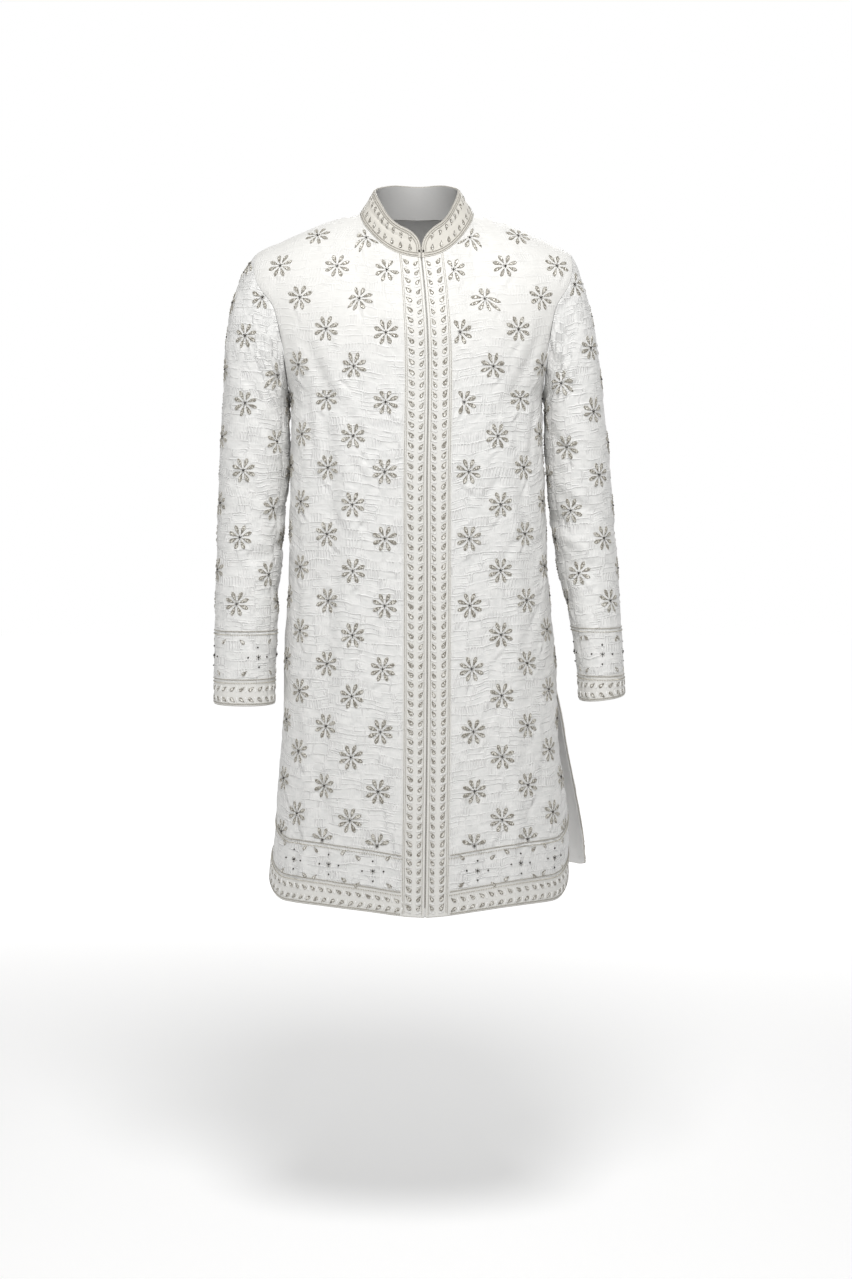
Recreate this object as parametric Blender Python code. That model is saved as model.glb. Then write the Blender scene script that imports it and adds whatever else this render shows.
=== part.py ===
"""A knee-length sherwani coat held open in its worn form: thin cloth walls round an empty hollow.

Metres, +Z up, +Y towards the back, +X towards the wearer's left. The origin is the middle of the
neck opening at the height where the collar meets the shoulder seams. Every piece is a wall of cloth
with a smooth outer face worked out from the body tables below, and an inner face moved in from it.
"""
import math

import bpy
import numpy as np

# ---- driving sizes ---------------------------------------------------------------------------
CLOTH = 0.0020             # thickness of the lined coat cloth
COLLAR_CLOTH = 0.0025      # thickness of the stiffened collar
LINING_CLOTH = 0.0010      # thickness of the plain lining behind the side vents
SEAM = 0.0003              # gap left between two pieces at a seam
LINING_INSET = 0.012       # how far the lining stops above the back's hem
UNDERLAP_GAP = 0.0006      # gap between a front and the strip that lies behind it

OUT = {"R": -1.0, "L": 1.0}                    # the wearer's right is at -X
SHOULDER_REACH = {"R": 0.241, "L": 0.227}      # shoulder tip from the middle
NECK_REACH = {"R": 0.0872, "L": 0.0836}        # where collar and shoulder seam meet
ARMPIT_Z = -0.262
FRONT_NECK_Z = -0.0665     # front end of the neckline
BACK_NECK_Y = 0.049        # middle of the neckline at the back
FRONT_HEM_Z = -1.0228      # lowest part of the fronts' hem, at the opening
BACK_HEM_Z = -1.000        # lowest part of the back's hem, in the middle
HEM_CORNER = 0.030         # radius of the fronts' lower side corners
BACK_CORNER = 0.010
OPENING_HALF = 0.0014      # half of the channel between the two fronts
VENT_TOP_Z = -0.700
UNDERLAP_REACH = 0.014     # how far the strip runs behind each front
UNDERLAP_HEM_Z = -1.010
UNDERLAP_TOP_Z = -0.0705
COLLAR_CORNER = 0.026      # radius of the collar's front corners
COLLAR_MIDDLE_Y = -0.012   # middle of the neck opening, front to back
RIDGE_DEPTH_FRONT = 0.21   # height over which the front rounds over into the shoulder
RIDGE_DEPTH_BACK = 0.17
CUFF_RISE = {"R": 0.001, "L": 0.009}           # how much higher the cuff's outer side ends

# ---- counts ----------------------------------------------------------------------------------
NECK_COLUMNS = 6
SHOULDER_COLUMNS = 7
COLUMNS = NECK_COLUMNS + SHOULDER_COLUMNS
LOW_ROWS = 15              # hem to armpit
HIGH_ROWS = 12             # armpit to shoulder
LINING_ROWS = 8            # rows of the back that the lining covers, up from the hem
CAP_STEPS = (0.0, 0.07, 0.18, 0.34, 0.54, 0.77, 1.0)   # steps from armhole to upper arm
FRONT_SLEEVE_SEAM = 3      # armhole rows, counted up from the armpit
BACK_SLEEVE_SEAM = 5
COLLAR_STEPS = 3


def table(columns, rows):
    """Turn rows of numbers into one array for each named column."""
    return dict(zip(columns.split(), np.array(rows, dtype=float).T))


# Torso sections: right and left half-widths, depth of front and back, squareness of the section.
BODY = table("z right left front back power", [
    (-1.045, 0.2290, 0.2290, 0.153, 0.158, 2.35),
    (-0.980, 0.2250, 0.2270, 0.151, 0.154, 2.35),
    (-0.919, 0.2170, 0.2265, 0.148, 0.149, 2.40),
    (-0.858, 0.2130, 0.2215, 0.144, 0.143, 2.40),
    (-0.797, 0.2075, 0.2120, 0.140, 0.137, 2.45),
    (-0.737, 0.2030, 0.2095, 0.136, 0.132, 2.50),
    (-0.676, 0.2026, 0.2080, 0.132, 0.126, 2.50),
    (-0.616, 0.1993, 0.2025, 0.128, 0.118, 2.55),
    (-0.555, 0.1948, 0.1965, 0.125, 0.108, 2.60),
    (-0.495, 0.1930, 0.1930, 0.124, 0.102, 2.60),
    (-0.434, 0.1918, 0.1905, 0.125, 0.103, 2.60),
    (-0.360, 0.1903, 0.1870, 0.127, 0.110, 2.55),
    (-0.300, 0.1895, 0.1850, 0.127, 0.116, 2.50),
    (-0.262, 0.1905, 0.1850, 0.125, 0.119, 2.50),
    (-0.220, 0.2075, 0.1980, 0.123, 0.121, 2.50),
    (-0.190, 0.2215, 0.2100, 0.121, 0.121, 2.50),
    (-0.162, 0.2380, 0.2250, 0.119, 0.120, 2.50),
    (-0.134, 0.2560, 0.2410, 0.117, 0.117, 2.50),
    (-0.105, 0.2750, 0.2590, 0.115, 0.113, 2.50),
    (-0.087, 0.2850, 0.2690, 0.114, 0.110, 2.50),
    (-0.040, 0.3050, 0.2880, 0.113, 0.104, 2.50),
    (0.030, 0.3150, 0.2970, 0.112, 0.098, 2.50),
])

# The line along the top of the shoulder: reach as a share of the shoulder tip's, height on the
# front and back pieces, depth of the line, and how squarely the cloth turns over it.
RIDGE = table("reach front_z back_z y turn", [
    (-0.10, 0.0245, 0.0285, 0.010, 1.62),
    (0.00, 0.0260, 0.0300, 0.010, 1.62),
    (0.10, 0.0245, 0.0285, 0.010, 1.62),
    (0.20, 0.0190, 0.0225, 0.008, 1.64),
    (0.37, 0.0045, 0.0045, 0.005, 1.68),
    (0.46, 0.0005, 0.0005, 0.003, 1.75),
    (0.54, -0.0055, -0.0055, 0.002, 1.85),
    (0.63, -0.0137, -0.0137, 0.001, 1.95),
    (0.74, -0.0252, -0.0252, 0.000, 2.10),
    (0.85, -0.0372, -0.0372, 0.000, 2.20),
    (0.96, -0.0490, -0.0490, 0.000, 2.30),
    (1.00, -0.0545, -0.0545, 0.000, 2.30),
    (1.15, -0.0830, -0.0830, 0.000, 2.30),
])

# The line where the two fronts meet wanders a little to the wearer's left.
OPENING = table("z x", [
    (-1.045, 0.0100),
    (-0.980, 0.0108),
    (-0.737, 0.0134),
    (-0.400, 0.0134),
    (-0.150, 0.0128),
    (-0.105, 0.0092),
    (-0.065, 0.0050),
])

# Armhole seams: height, and share of the way out from the armpit to the shoulder tip.
ARMHOLE = {
    "front": table("z out", [
        (-0.262, 0.000),
        (-0.250, 0.040),
        (-0.220, 0.103),
        (-0.190, 0.170),
        (-0.162, 0.275),
        (-0.134, 0.437),
        (-0.105, 0.857),
        (-0.087, 0.995),
        (-0.0545, 1.000),
    ]),
    "back": table("z out", [
        (-0.262, 0.000),
        (-0.250, 0.069),
        (-0.220, 0.188),
        (-0.190, 0.313),
        (-0.162, 0.446),
        (-0.134, 0.618),
        (-0.105, 0.848),
        (-0.087, 0.966),
        (-0.0545, 1.000),
    ]),
}

# Neckline of a front: share of the way out to the shoulder seam, share of the drop to the front.
NECKLINE = table("out drop", [
    (0.00, 1.000),
    (0.20, 0.965),
    (0.40, 0.880),
    (0.62, 0.700),
    (0.82, 0.430),
    (0.94, 0.200),
    (1.00, 0.000),
])

# Stand collar at its front, side and back: height of its top edge, inward lean for each unit of rise.
COLLAR = table("turn top_z lean", [
    (0.0, -0.028, 0.12),
    (90.0, 0.034, 0.64),
    (180.0, 0.048, 0.35),
])

# Hems: share of the way out to the side edge, and rise above the lowest part.
HEM = {
    "front": table("out rise", [(0.00, 0.0), (0.14, 0.002), (0.33, 0.007), (0.56, 0.013), (1.00, 0.0125)]),
    "back": table("out rise", [(0.00, 0.0), (0.50, 0.004), (1.00, 0.0140)]),
}

# Arm sections: middle (x is the distance from the coat's middle plane) and half-sizes.
ARM = {
    "R": table("z x y half_x half_y", [
        (-0.722, 0.2602, -0.030, 0.0455, 0.0500),
        (-0.680, 0.2598, -0.025, 0.0458, 0.0510),
        (-0.616, 0.2584, -0.014, 0.0467, 0.0530),
        (-0.555, 0.2568, -0.004, 0.0476, 0.0550),
        (-0.495, 0.2535, 0.005, 0.0492, 0.0570),
        (-0.434, 0.2500, 0.010, 0.0510, 0.0590),
        (-0.374, 0.2457, 0.010, 0.0527, 0.0620),
        (-0.340, 0.2445, 0.008, 0.0520, 0.0640),
        (-0.300, 0.2432, 0.006, 0.0505, 0.0655),
    ]),
    "L": table("z x y half_x half_y", [
        (-0.716, 0.2750, -0.034, 0.0340, 0.0570),
        (-0.667, 0.2727, -0.028, 0.0348, 0.0580),
        (-0.617, 0.2683, -0.018, 0.0368, 0.0585),
        (-0.555, 0.2600, -0.004, 0.0425, 0.0580),
        (-0.495, 0.2520, 0.005, 0.0463, 0.0590),
        (-0.434, 0.2455, 0.010, 0.0478, 0.0610),
        (-0.374, 0.2405, 0.010, 0.0482, 0.0635),
        (-0.340, 0.2380, 0.008, 0.0475, 0.0650),
        (-0.300, 0.2345, 0.006, 0.0455, 0.0660),
    ]),
}
ARM_ROWS = (-0.34, -0.38, -0.42, -0.45, -0.48, -0.51, -0.54, -0.57, -0.60, -0.64, -0.68)
ARM_POWER = 2.15

UNDERARM_SPREAD = 0.22     # how steeply the sleeve leaves the side of the coat under the arm

# Sleeve heads: how strongly the top stands out, and the pull of the curve at armhole and arm.
SLEEVE_HEAD = {"R": (0.5, 1.0, 1.5), "L": (0.3, 1.1, 0.4)}

# Side edges below the vents: how far a piece's edge moves out and back from the plain section.
VENT = {
    ("R", "front"): table("z out back", [(-1.045, 0.000, -0.004), (-0.850, 0.000, -0.002), (-0.700, 0, 0)]),
    ("L", "front"): table("z out back", [(-1.045, 0.000, -0.008), (-0.850, 0.001, -0.004), (-0.700, 0, 0)]),
    ("R", "back"): table("z out back", [
        (-1.020, -0.008, 0.012), (-0.850, -0.006, 0.007), (-0.760, -0.002, 0.002), (-0.700, 0, 0)]),
    ("L", "back"): table("z out back", [
        (-1.020, 0.033, 0.034), (-0.950, 0.029, 0.028), (-0.858, 0.019, 0.018),
        (-0.797, 0.016, 0.011), (-0.750, 0.010, 0.005), (-0.700, 0, 0)]),
}
VENT_SPREAD = 0.45         # share of the piece's width that swings with its side edge

# Soft flutes of the skirt: where they lie across the half-width, how proud, how wide, and the
# height at which each has died away.
FLUTES = {
    ("R", "front"): table("at proud width top", [(0.58, 0.0060, 0.16, -0.33), (0.28, -0.0030, 0.16, -0.52)]),
    ("L", "front"): table("at proud width top", [(0.62, 0.0050, 0.16, -0.38), (0.30, -0.0025, 0.16, -0.55)]),
    ("R", "back"): table("at proud width top", [(0.25, 0.0055, 0.15, -0.55), (0.68, 0.0060, 0.16, -0.50)]),
    ("L", "back"): table("at proud width top", [(0.32, 0.0055, 0.15, -0.58), (0.74, 0.0050, 0.16, -0.52)]),
}

# Soft creases across the sleeves near the elbow: height, angle round the arm (0 is outermost, 90
# is the front), slope along the crease, depth, and half-sizes along and across it.
CREASES = {
    "R": table("z angle slope deep along across", [
        (-0.440, 150.0, 0.020, 0.0030, 60.0, 0.013),
        (-0.500, 120.0, 0.026, 0.0034, 70.0, 0.014),
        (-0.555, 165.0, -0.018, 0.0028, 55.0, 0.013),
    ]),
    "L": table("z angle slope deep along across", [
        (-0.450, 140.0, 0.018, 0.0028, 60.0, 0.013),
        (-0.515, 115.0, 0.024, 0.0034, 70.0, 0.014),
        (-0.570, 160.0, -0.016, 0.0026, 55.0, 0.013),
    ]),
}

CREAM = (0.80, 0.79, 0.76, 1.0)
PLAIN = (0.72, 0.72, 0.70, 1.0)


def read(rows, column, at, key="z"):
    """Read a table's column at any key as a smooth curve through its rows."""
    keys = rows[key]
    values = rows[column]
    at = np.clip(at, keys[0], keys[-1])
    low = np.clip(np.searchsorted(keys, at, side="right") - 1, 0, len(keys) - 2)
    span = keys[low + 1] - keys[low]
    part = (at - keys[low]) / span
    slope = np.gradient(values, keys)
    rise = (1 + 2 * part) * (1 - part) ** 2 * values[low] + part ** 2 * (3 - 2 * part) * values[low + 1]
    bend = part * (1 - part) ** 2 * slope[low] + part ** 2 * (part - 1) * slope[low + 1]
    return rise + bend * span


def unit(vectors):
    """Scale vectors to length one."""
    return vectors / np.linalg.norm(vectors, axis=-1, keepdims=True)


def ease(share):
    """Rise smoothly from 0 to 1."""
    share = np.clip(share, 0.0, 1.0)
    return share * share * (3 - 2 * share)


def side_name(side):
    return "right" if side == "R" else "left"


# ---- the torso's form ------------------------------------------------------------------------
def torso_y(reach, z, side, face):
    """Depth of the coat's outer face at a distance out from the middle plane and a height."""
    share = reach / SHOULDER_REACH[side]
    top_z = read(RIDGE, face + "_z", np.abs(share), "reach")
    turn = read(RIDGE, "turn", np.abs(share), "reach")
    ridge_depth = RIDGE_DEPTH_FRONT if face == "front" else RIDGE_DEPTH_BACK
    below = np.clip((top_z - z) / ridge_depth, 0.0, 1.0)
    fullness = (1 - (1 - below) ** turn) ** (1 / turn)
    half = read(BODY, side_name(side), z)
    power = read(BODY, "power", z)
    across = np.clip(1 - np.abs(reach / half) ** power, 0.0, 1.0) ** (1 / power)
    depth = read(BODY, face, z) * across * fullness
    ridge_y = read(RIDGE, "y", np.abs(share), "reach") * (1 - fullness)
    return ridge_y + (-depth if face == "front" else depth)


def front_edge_reach(z, side):
    """Distance of a front's opening edge out from the middle plane."""
    return OUT[side] * read(OPENING, "x", z) + OPENING_HALF


def corner_rise(distance, radius):
    """How far a round corner lifts an edge, at a distance from the piece's end."""
    inside = np.clip(radius - distance, 0.0, radius)
    return radius - np.sqrt(radius ** 2 - inside ** 2)


def hem_z(out_share, width, face):
    """Height of the hem across a half panel, rounded up at the side corner."""
    level = FRONT_HEM_Z if face == "front" else BACK_HEM_Z
    radius = HEM_CORNER if face == "front" else BACK_CORNER
    rise = read(HEM[face], "rise", out_share, "out")
    return level + rise + corner_rise((1 - out_share) * width, radius)


def armhole(side, face, shares):
    """Reach, depth and height along an armhole seam, from the armpit up to the shoulder tip."""
    rows = ARMHOLE[face]
    fine_z = ARMPIT_Z + (rows["z"][-1] - ARMPIT_Z) * np.linspace(0, 1, 400) ** 1.5
    armpit = read(BODY, side_name(side), ARMPIT_Z)
    reach = armpit + (SHOULDER_REACH[side] - armpit) * read(rows, "out", fine_z)
    y = torso_y(reach, fine_z, side, face)
    curve = np.column_stack([reach, y, fine_z])
    length = np.concatenate([[0], np.cumsum(np.linalg.norm(np.diff(curve, axis=0), axis=1))])
    return np.column_stack([np.interp(shares * length[-1], length, column) for column in curve.T])


def column_shares():
    """Across a half panel: shares of the width, closer together towards the side."""
    return np.sin(np.arange(COLUMNS + 1) / COLUMNS * math.pi / 2)


def row_shares():
    """From armpit to shoulder: rows a little closer together at both ends."""
    even = np.arange(HIGH_ROWS + 1) / HIGH_ROWS
    return 0.5 * even + 0.25 * (1 - np.cos(math.pi * even))


def inner_reach(z, side, face):
    """Where a half panel starts: at the front opening, or at the middle of the back."""
    return front_edge_reach(z, side) if face == "front" else np.zeros_like(z)


def low_part(side, face):
    """Reach and height of a half panel's grid from the hem up to the armpit."""
    shares = column_shares()
    width = read(BODY, side_name(side), FRONT_HEM_Z)
    hem = hem_z(shares, width, face)
    up = np.arange(LOW_ROWS + 1)[:, None] / LOW_ROWS
    z = hem[None, :] * (1 - up) + ARMPIT_Z * up
    start = inner_reach(z, side, face)
    half = read(BODY, side_name(side), z)
    return start + (half - start) * shares[None, :], z


def back_neck_height(reach, share, side):
    """Height at which the back reaches the neck opening's oval, a share of the way to its middle."""
    seam_y = read(RIDGE, "y", np.array(NECK_REACH[side] / SHOULDER_REACH[side]), "reach")
    wanted = seam_y + (BACK_NECK_Y - seam_y) * share
    top = read(RIDGE, "back_z", np.array(reach / SHOULDER_REACH[side]), "reach")
    drop = np.linspace(0.0, 0.08, 300)
    depth = torso_y(np.full_like(drop, reach), top - drop, side, "back")
    return top - np.interp(wanted, depth, drop)


def top_line(side, face):
    """Reach and height along the neckline and then the shoulder seam, from the middle outwards."""
    angle = np.arange(NECK_COLUMNS + 1) / NECK_COLUMNS * math.pi / 2
    out = np.sin(angle)
    seam_z = read(RIDGE, "front_z", np.array(NECK_REACH[side] / SHOULDER_REACH[side]), "reach")
    if face == "front":
        start = front_edge_reach(np.array(FRONT_NECK_Z), side)
        neck_z = seam_z + (FRONT_NECK_Z - seam_z) * read(NECKLINE, "drop", out, "out")
    else:
        start = 0.0
        neck_z = [back_neck_height(NECK_REACH[side] * sin, cos, side) for sin, cos in zip(out, np.cos(angle))]
        neck_z[-1] = seam_z
    neck_reach = start + (NECK_REACH[side] - start) * out
    along = np.arange(1, SHOULDER_COLUMNS + 1) / SHOULDER_COLUMNS
    seam_reach = NECK_REACH[side] + (SHOULDER_REACH[side] - NECK_REACH[side]) * along
    seam = read(RIDGE, "front_z", seam_reach / SHOULDER_REACH[side], "reach")
    return np.concatenate([neck_reach, seam_reach]), np.concatenate([neck_z, seam])


def high_part(side, face):
    """Reach and height of a half panel's grid above the armpit, blended from its four edges."""
    low_reach, low_z = low_part(side, face)
    up = row_shares()
    bottom = np.stack([low_reach[-1], low_z[-1]], axis=-1)
    top = np.stack(top_line(side, face), axis=-1)
    middle_z = ARMPIT_Z + (top[0, 1] - ARMPIT_Z) * up
    middle = np.stack([inner_reach(middle_z, side, face), middle_z], axis=-1)
    hole = armhole(side, face, up)[:, [0, 2]]
    hole[0] = bottom[-1]
    hole[-1] = top[-1]
    u = (np.arange(COLUMNS + 1) / COLUMNS)[None, :, None]
    v = up[:, None, None]
    blend = (1 - v) * bottom[None] + v * top[None] + (1 - u) * middle[:, None] + u * hole[:, None]
    corners = (1 - u) * ((1 - v) * bottom[0] + v * top[0]) + u * ((1 - v) * bottom[-1] + v * top[-1])
    grid = blend - corners
    return grid[..., 0], grid[..., 1]


def flute(reach, z, side, face):
    """How far the skirt's soft flutes stand proud of the plain section."""
    rows = FLUTES[side, face]
    share = reach / read(BODY, side_name(side), z)
    proud = np.zeros_like(z)
    for at, height, width, top in zip(rows["at"], rows["proud"], rows["width"], rows["top"]):
        fade = ease((top - z) / (top - BACK_HEM_Z))
        proud += height * fade * np.exp(-((share - at) / width) ** 2)
    return proud


def half_panel(side, face):
    """Outer points of a half panel as rows from the hem up, columns from the middle outwards."""
    low = low_part(side, face)
    high = high_part(side, face)
    reach = np.vstack([low[0], high[0][1:]])
    z = np.vstack([low[1], high[1][1:]])
    y = torso_y(reach, z, side, face)
    towards = -1.0 if face == "front" else 1.0
    y[:LOW_ROWS + 1] += towards * flute(reach, z, side, face)[:LOW_ROWS + 1]
    y[:LOW_ROWS + 1, -1] = 0.0
    y[LOW_ROWS:, -1] = armhole(side, face, row_shares())[:, 1]
    y[LOW_ROWS, -1] = 0.0
    y[-1, NECK_COLUMNS:] = read(RIDGE, "y", reach[-1, NECK_COLUMNS:] / SHOULDER_REACH[side], "reach")
    swing = ease(1 - (1 - column_shares()) / VENT_SPREAD)[None, :]
    vent = VENT[side, face]
    reach = reach + swing * read(vent, "out", z) * (z < VENT_TOP_Z)
    y = y + swing * read(vent, "back", z) * (z < VENT_TOP_Z)
    y[:LOW_ROWS + 1, -1] += towards * SEAM / 2
    y[-1, NECK_COLUMNS:] += towards * SEAM / 2
    return np.stack([OUT[side] * reach, y, z], axis=-1)


def grid_normals(grid):
    """Outward normals of a grid of points on the torso or collar."""
    down = np.gradient(grid, axis=0)
    across = np.gradient(grid, axis=1)
    normals = unit(np.cross(across, down))
    away = grid * np.array([1.0, 1.0, 0.0])
    return normals if (normals * away).sum() > 0 else -normals


def seam_normals(points, side):
    """Normals along a side or shoulder seam, the same for both pieces that meet there."""
    along = unit(np.gradient(points, axis=0) * np.array([1.0, 0.0, 1.0]))
    normals = np.cross(along, np.array([0.0, 1.0, 0.0]))
    outward = np.array([OUT[side], 0.0, 0.35])
    flip = np.where((normals * outward).sum(axis=-1, keepdims=True) < 0, -1.0, 1.0)
    return normals * flip


def set_seam_normals(grid, normals, side, last):
    """Give the side and shoulder seams their shared normals, at a grid's last or first columns."""
    edge = -1 if last else 0
    shoulder = slice(-1 - SHOULDER_COLUMNS, None) if last else slice(0, SHOULDER_COLUMNS + 1)
    normals[:LOW_ROWS + 1, edge] = seam_normals(grid[:LOW_ROWS + 1, edge], side)
    normals[-1, shoulder] = seam_normals(grid[-1, shoulder], side)


def front_grids(side):
    """Outer points and normals of one front."""
    grid = half_panel(side, "front")
    normals = grid_normals(grid)
    set_seam_normals(grid, normals, side, last=True)
    return grid, normals


def back_grids():
    """Outer points and normals of the back, from its right edge to its left edge."""
    right = half_panel("R", "back")
    left = half_panel("L", "back")
    grid = np.concatenate([right[:, ::-1], left[:, 1:]], axis=1)
    normals = grid_normals(grid)
    set_seam_normals(grid, normals, "R", last=False)
    set_seam_normals(grid, normals, "L", last=True)
    return grid, normals


# ---- meshes ----------------------------------------------------------------------------------
def cloth_material(name, colour, roughness):
    material = bpy.data.materials.new(name)
    material.use_nodes = True
    shader = material.node_tree.nodes["Principled BSDF"]
    shader.inputs["Base Color"].default_value = colour
    shader.inputs["Roughness"].default_value = roughness
    shader.inputs["Metallic"].default_value = 0.0
    return material


def wall(name, outer, inner, colour=CREAM, roughness=0.6):
    """Make one closed wall of cloth from its outer and inner grids of points."""
    rows, columns = outer.shape[:2]
    count = rows * columns
    index = np.arange(count).reshape(rows, columns)
    quads = []
    for row in range(rows - 1):
        for column in range(columns - 1):
            a, b = index[row, column], index[row, column + 1]
            c, d = index[row + 1, column + 1], index[row + 1, column]
            quads.append((a, b, c, d))
            quads.append((c + count, b + count, a + count, d + count))
    rim = list(index[0]) + list(index[1:, -1]) + list(index[-1, -2::-1]) + list(index[-2:0:-1, 0])
    for here, after in zip(rim, rim[1:] + rim[:1]):
        quads.append((after, here, here + count, after + count))
    points = np.concatenate([outer.reshape(-1, 3), inner.reshape(-1, 3)])
    across = outer[0, 1] - outer[0, 0]
    up = outer[1, 0] - outer[0, 0]
    if np.dot(np.cross(across, up), outer[0, 0] - inner[0, 0]) < 0:
        quads = [face[::-1] for face in quads]
    mesh = bpy.data.meshes.new(name)
    mesh.from_pydata(points.tolist(), [], [tuple(int(i) for i in face) for face in quads])
    mesh.shade_smooth()
    mesh.set_sharp_from_angle(angle=math.radians(50))
    mesh.materials.append(cloth_material(name + "_cloth", colour, roughness))
    mesh.validate()
    item = bpy.data.objects.new(name, mesh)
    bpy.context.collection.objects.link(item)
    return item


def panel_wall(name, grid, normals):
    return wall(name, grid, grid - normals * CLOTH)


# ---- sleeves ---------------------------------------------------------------------------------
def arm_ring(side, z, angles):
    """Points round the arm at one height; angle 0 is outermost and 90 degrees is the front."""
    rows = ARM[side]
    middle = np.array([OUT[side] * read(rows, "x", z), read(rows, "y", z)])
    cos, sin = np.cos(angles), np.sin(angles)
    square = (np.abs(cos) ** ARM_POWER + np.abs(sin) ** ARM_POWER) ** (-1 / ARM_POWER)
    crease = np.zeros_like(angles)
    folds = CREASES[side]
    for at, angle, slope, deep, along, across in zip(*folds.values()):
        turn = (np.degrees(angles) - angle + 180.0) % 360.0 - 180.0
        level = at + slope * turn / along
        crease += deep * np.exp(-(turn / along) ** 2 - ((z - level) / across) ** 2)
    x = middle[0] + OUT[side] * (read(rows, "half_x", z) * square - crease) * cos
    y = middle[1] - (read(rows, "half_y", z) * square - crease) * sin
    rise = CUFF_RISE[side] * (1 + cos) / 2 * ease((-0.60 - z) / 0.10)
    return np.stack([x, y, np.full_like(x, z) + rise], axis=-1)


def armhole_ring(side, front, back):
    """The armhole's points and normals in order round the arm: tip, front, armpit, back."""
    front_grid, front_normals = front
    back_grid, back_normals = back
    edge = 0 if side == "R" else -1
    top = slice(LOW_ROWS, None)
    front_points = front_grid[top, -1][::-1]
    back_points = back_grid[top, edge]
    points = np.concatenate([front_points, back_points[1:-1]])
    normals = np.concatenate([front_normals[top, -1][::-1], back_normals[top, edge][1:-1]])
    points[0] = (front_points[0] + back_points[-1]) / 2
    points[HIGH_ROWS] = (front_points[-1] + back_points[0]) / 2
    return points, normals


def sleeve_grids(side, front, back):
    """Outer and inner points of a whole sleeve, rows from armhole to cuff, columns round the arm."""
    start, normals = armhole_ring(side, front, back)
    shares = row_shares()
    angles = math.pi * np.concatenate([1 - shares[::-1], 1 + shares[1:-1]])
    tangent = unit(np.roll(start, -1, axis=0) - np.roll(start, 1, axis=0))
    normals = unit(normals - (normals * tangent).sum(-1, keepdims=True) * tangent)
    onward = np.cross(tangent, normals)
    middle = np.array([0.0, 0.0, ARMPIT_Z])
    if (onward * (start - middle)).sum() < 0:
        onward = -onward
    ring = arm_ring(side, ARM[side]["z"][-1], angles)
    after = arm_ring(side, ARM[side]["z"][-1] - 0.02, angles)
    reach = np.linalg.norm(ring - start, axis=-1, keepdims=True)
    fullness, leave_pull, arrive_pull = SLEEVE_HEAD[side]
    outward = np.array([OUT[side], 0.0, 0.0]) * (fullness * np.cos(angles / 2) ** 2)[:, None]
    clear = np.array([OUT[side], 0.0, 0.0]) * (UNDERARM_SPREAD * np.sin(angles / 2) ** 4)[:, None]
    leave = unit((ring - start) / reach + outward + clear)
    fold = np.arctan2((leave * normals).sum(-1), (leave * onward).sum(-1))
    fold = np.maximum(fold, 0.0)[:, None]
    half = fold / 2
    begin = start + SEAM * (onward * np.cos(half) + normals * np.sin(half))
    begin_normals = normals * np.cos(fold) - onward * np.sin(fold)
    arrive = unit(after - ring)
    rows = []
    for step in CAP_STEPS:
        first = 2 * step ** 3 - 3 * step ** 2 + 1
        second = step ** 3 - 2 * step ** 2 + step
        third = -2 * step ** 3 + 3 * step ** 2
        fourth = step ** 3 - step ** 2
        bend = second * leave_pull * leave + fourth * arrive_pull * arrive
        rows.append(first * begin + third * ring + reach * bend)
    for z in ARM_ROWS + (ARM[side]["z"][0],):
        rows.append(arm_ring(side, z, angles))
    outer = np.array(rows)
    down = np.gradient(outer, axis=0)
    across = np.roll(outer, -1, axis=1) - np.roll(outer, 1, axis=1)
    walls = unit(np.cross(across, down))
    if (walls * (outer - outer.mean(axis=1, keepdims=True))).sum() < 0:
        walls = -walls
    walls[0] = begin_normals
    return outer, walls


def sleeve_pieces(side, front, back):
    """Cut a sleeve along its two seams into the upper and the under sleeve."""
    outer, walls = sleeve_grids(side, front, back)
    count = outer.shape[1]
    around = np.roll(outer, -1, axis=1) - np.roll(outer, 1, axis=1)
    around = unit(around - (around * walls).sum(-1, keepdims=True) * walls)
    front_seam = HIGH_ROWS - FRONT_SLEEVE_SEAM
    back_seam = HIGH_ROWS + BACK_SLEEVE_SEAM
    upper = list(range(back_seam, count)) + list(range(front_seam + 1))
    under = list(range(front_seam, back_seam + 1))
    for name, columns in (("upper", upper), ("under", under)):
        part = outer[:, columns].copy()
        part_walls = walls[:, columns]
        part[:, 0] += around[:, columns[0]] * SEAM / 2
        part[:, -1] -= around[:, columns[-1]] * SEAM / 2
        wall("sleeve_" + name + "_" + side, part, part - part_walls * CLOTH)


# ---- collar, underlap and lining -------------------------------------------------------------
def neck_line(front_right, back, front_left):
    """The neckline's outer points from the right front's end round the back to the left's."""
    right = front_right[0][-1, :NECK_COLUMNS + 1]
    left = front_left[0][-1, :NECK_COLUMNS + 1][::-1]
    behind = back[0][-1, SHOULDER_COLUMNS:-SHOULDER_COLUMNS]
    right_end = (right[-1] + behind[0]) / 2
    left_end = (left[0] + behind[-1]) / 2
    return np.concatenate([right[:-1], [right_end], behind[1:-1], [left_end], left[1:]])


def oval(values, cos):
    """Pass smoothly round the neck through a front, a side and a back value."""
    front, side, back = values
    even = (front + back) / 4 + side / 2
    return even + (front - back) / 2 * cos + (even - side) * (2 * cos ** 2 - 1)


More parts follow.
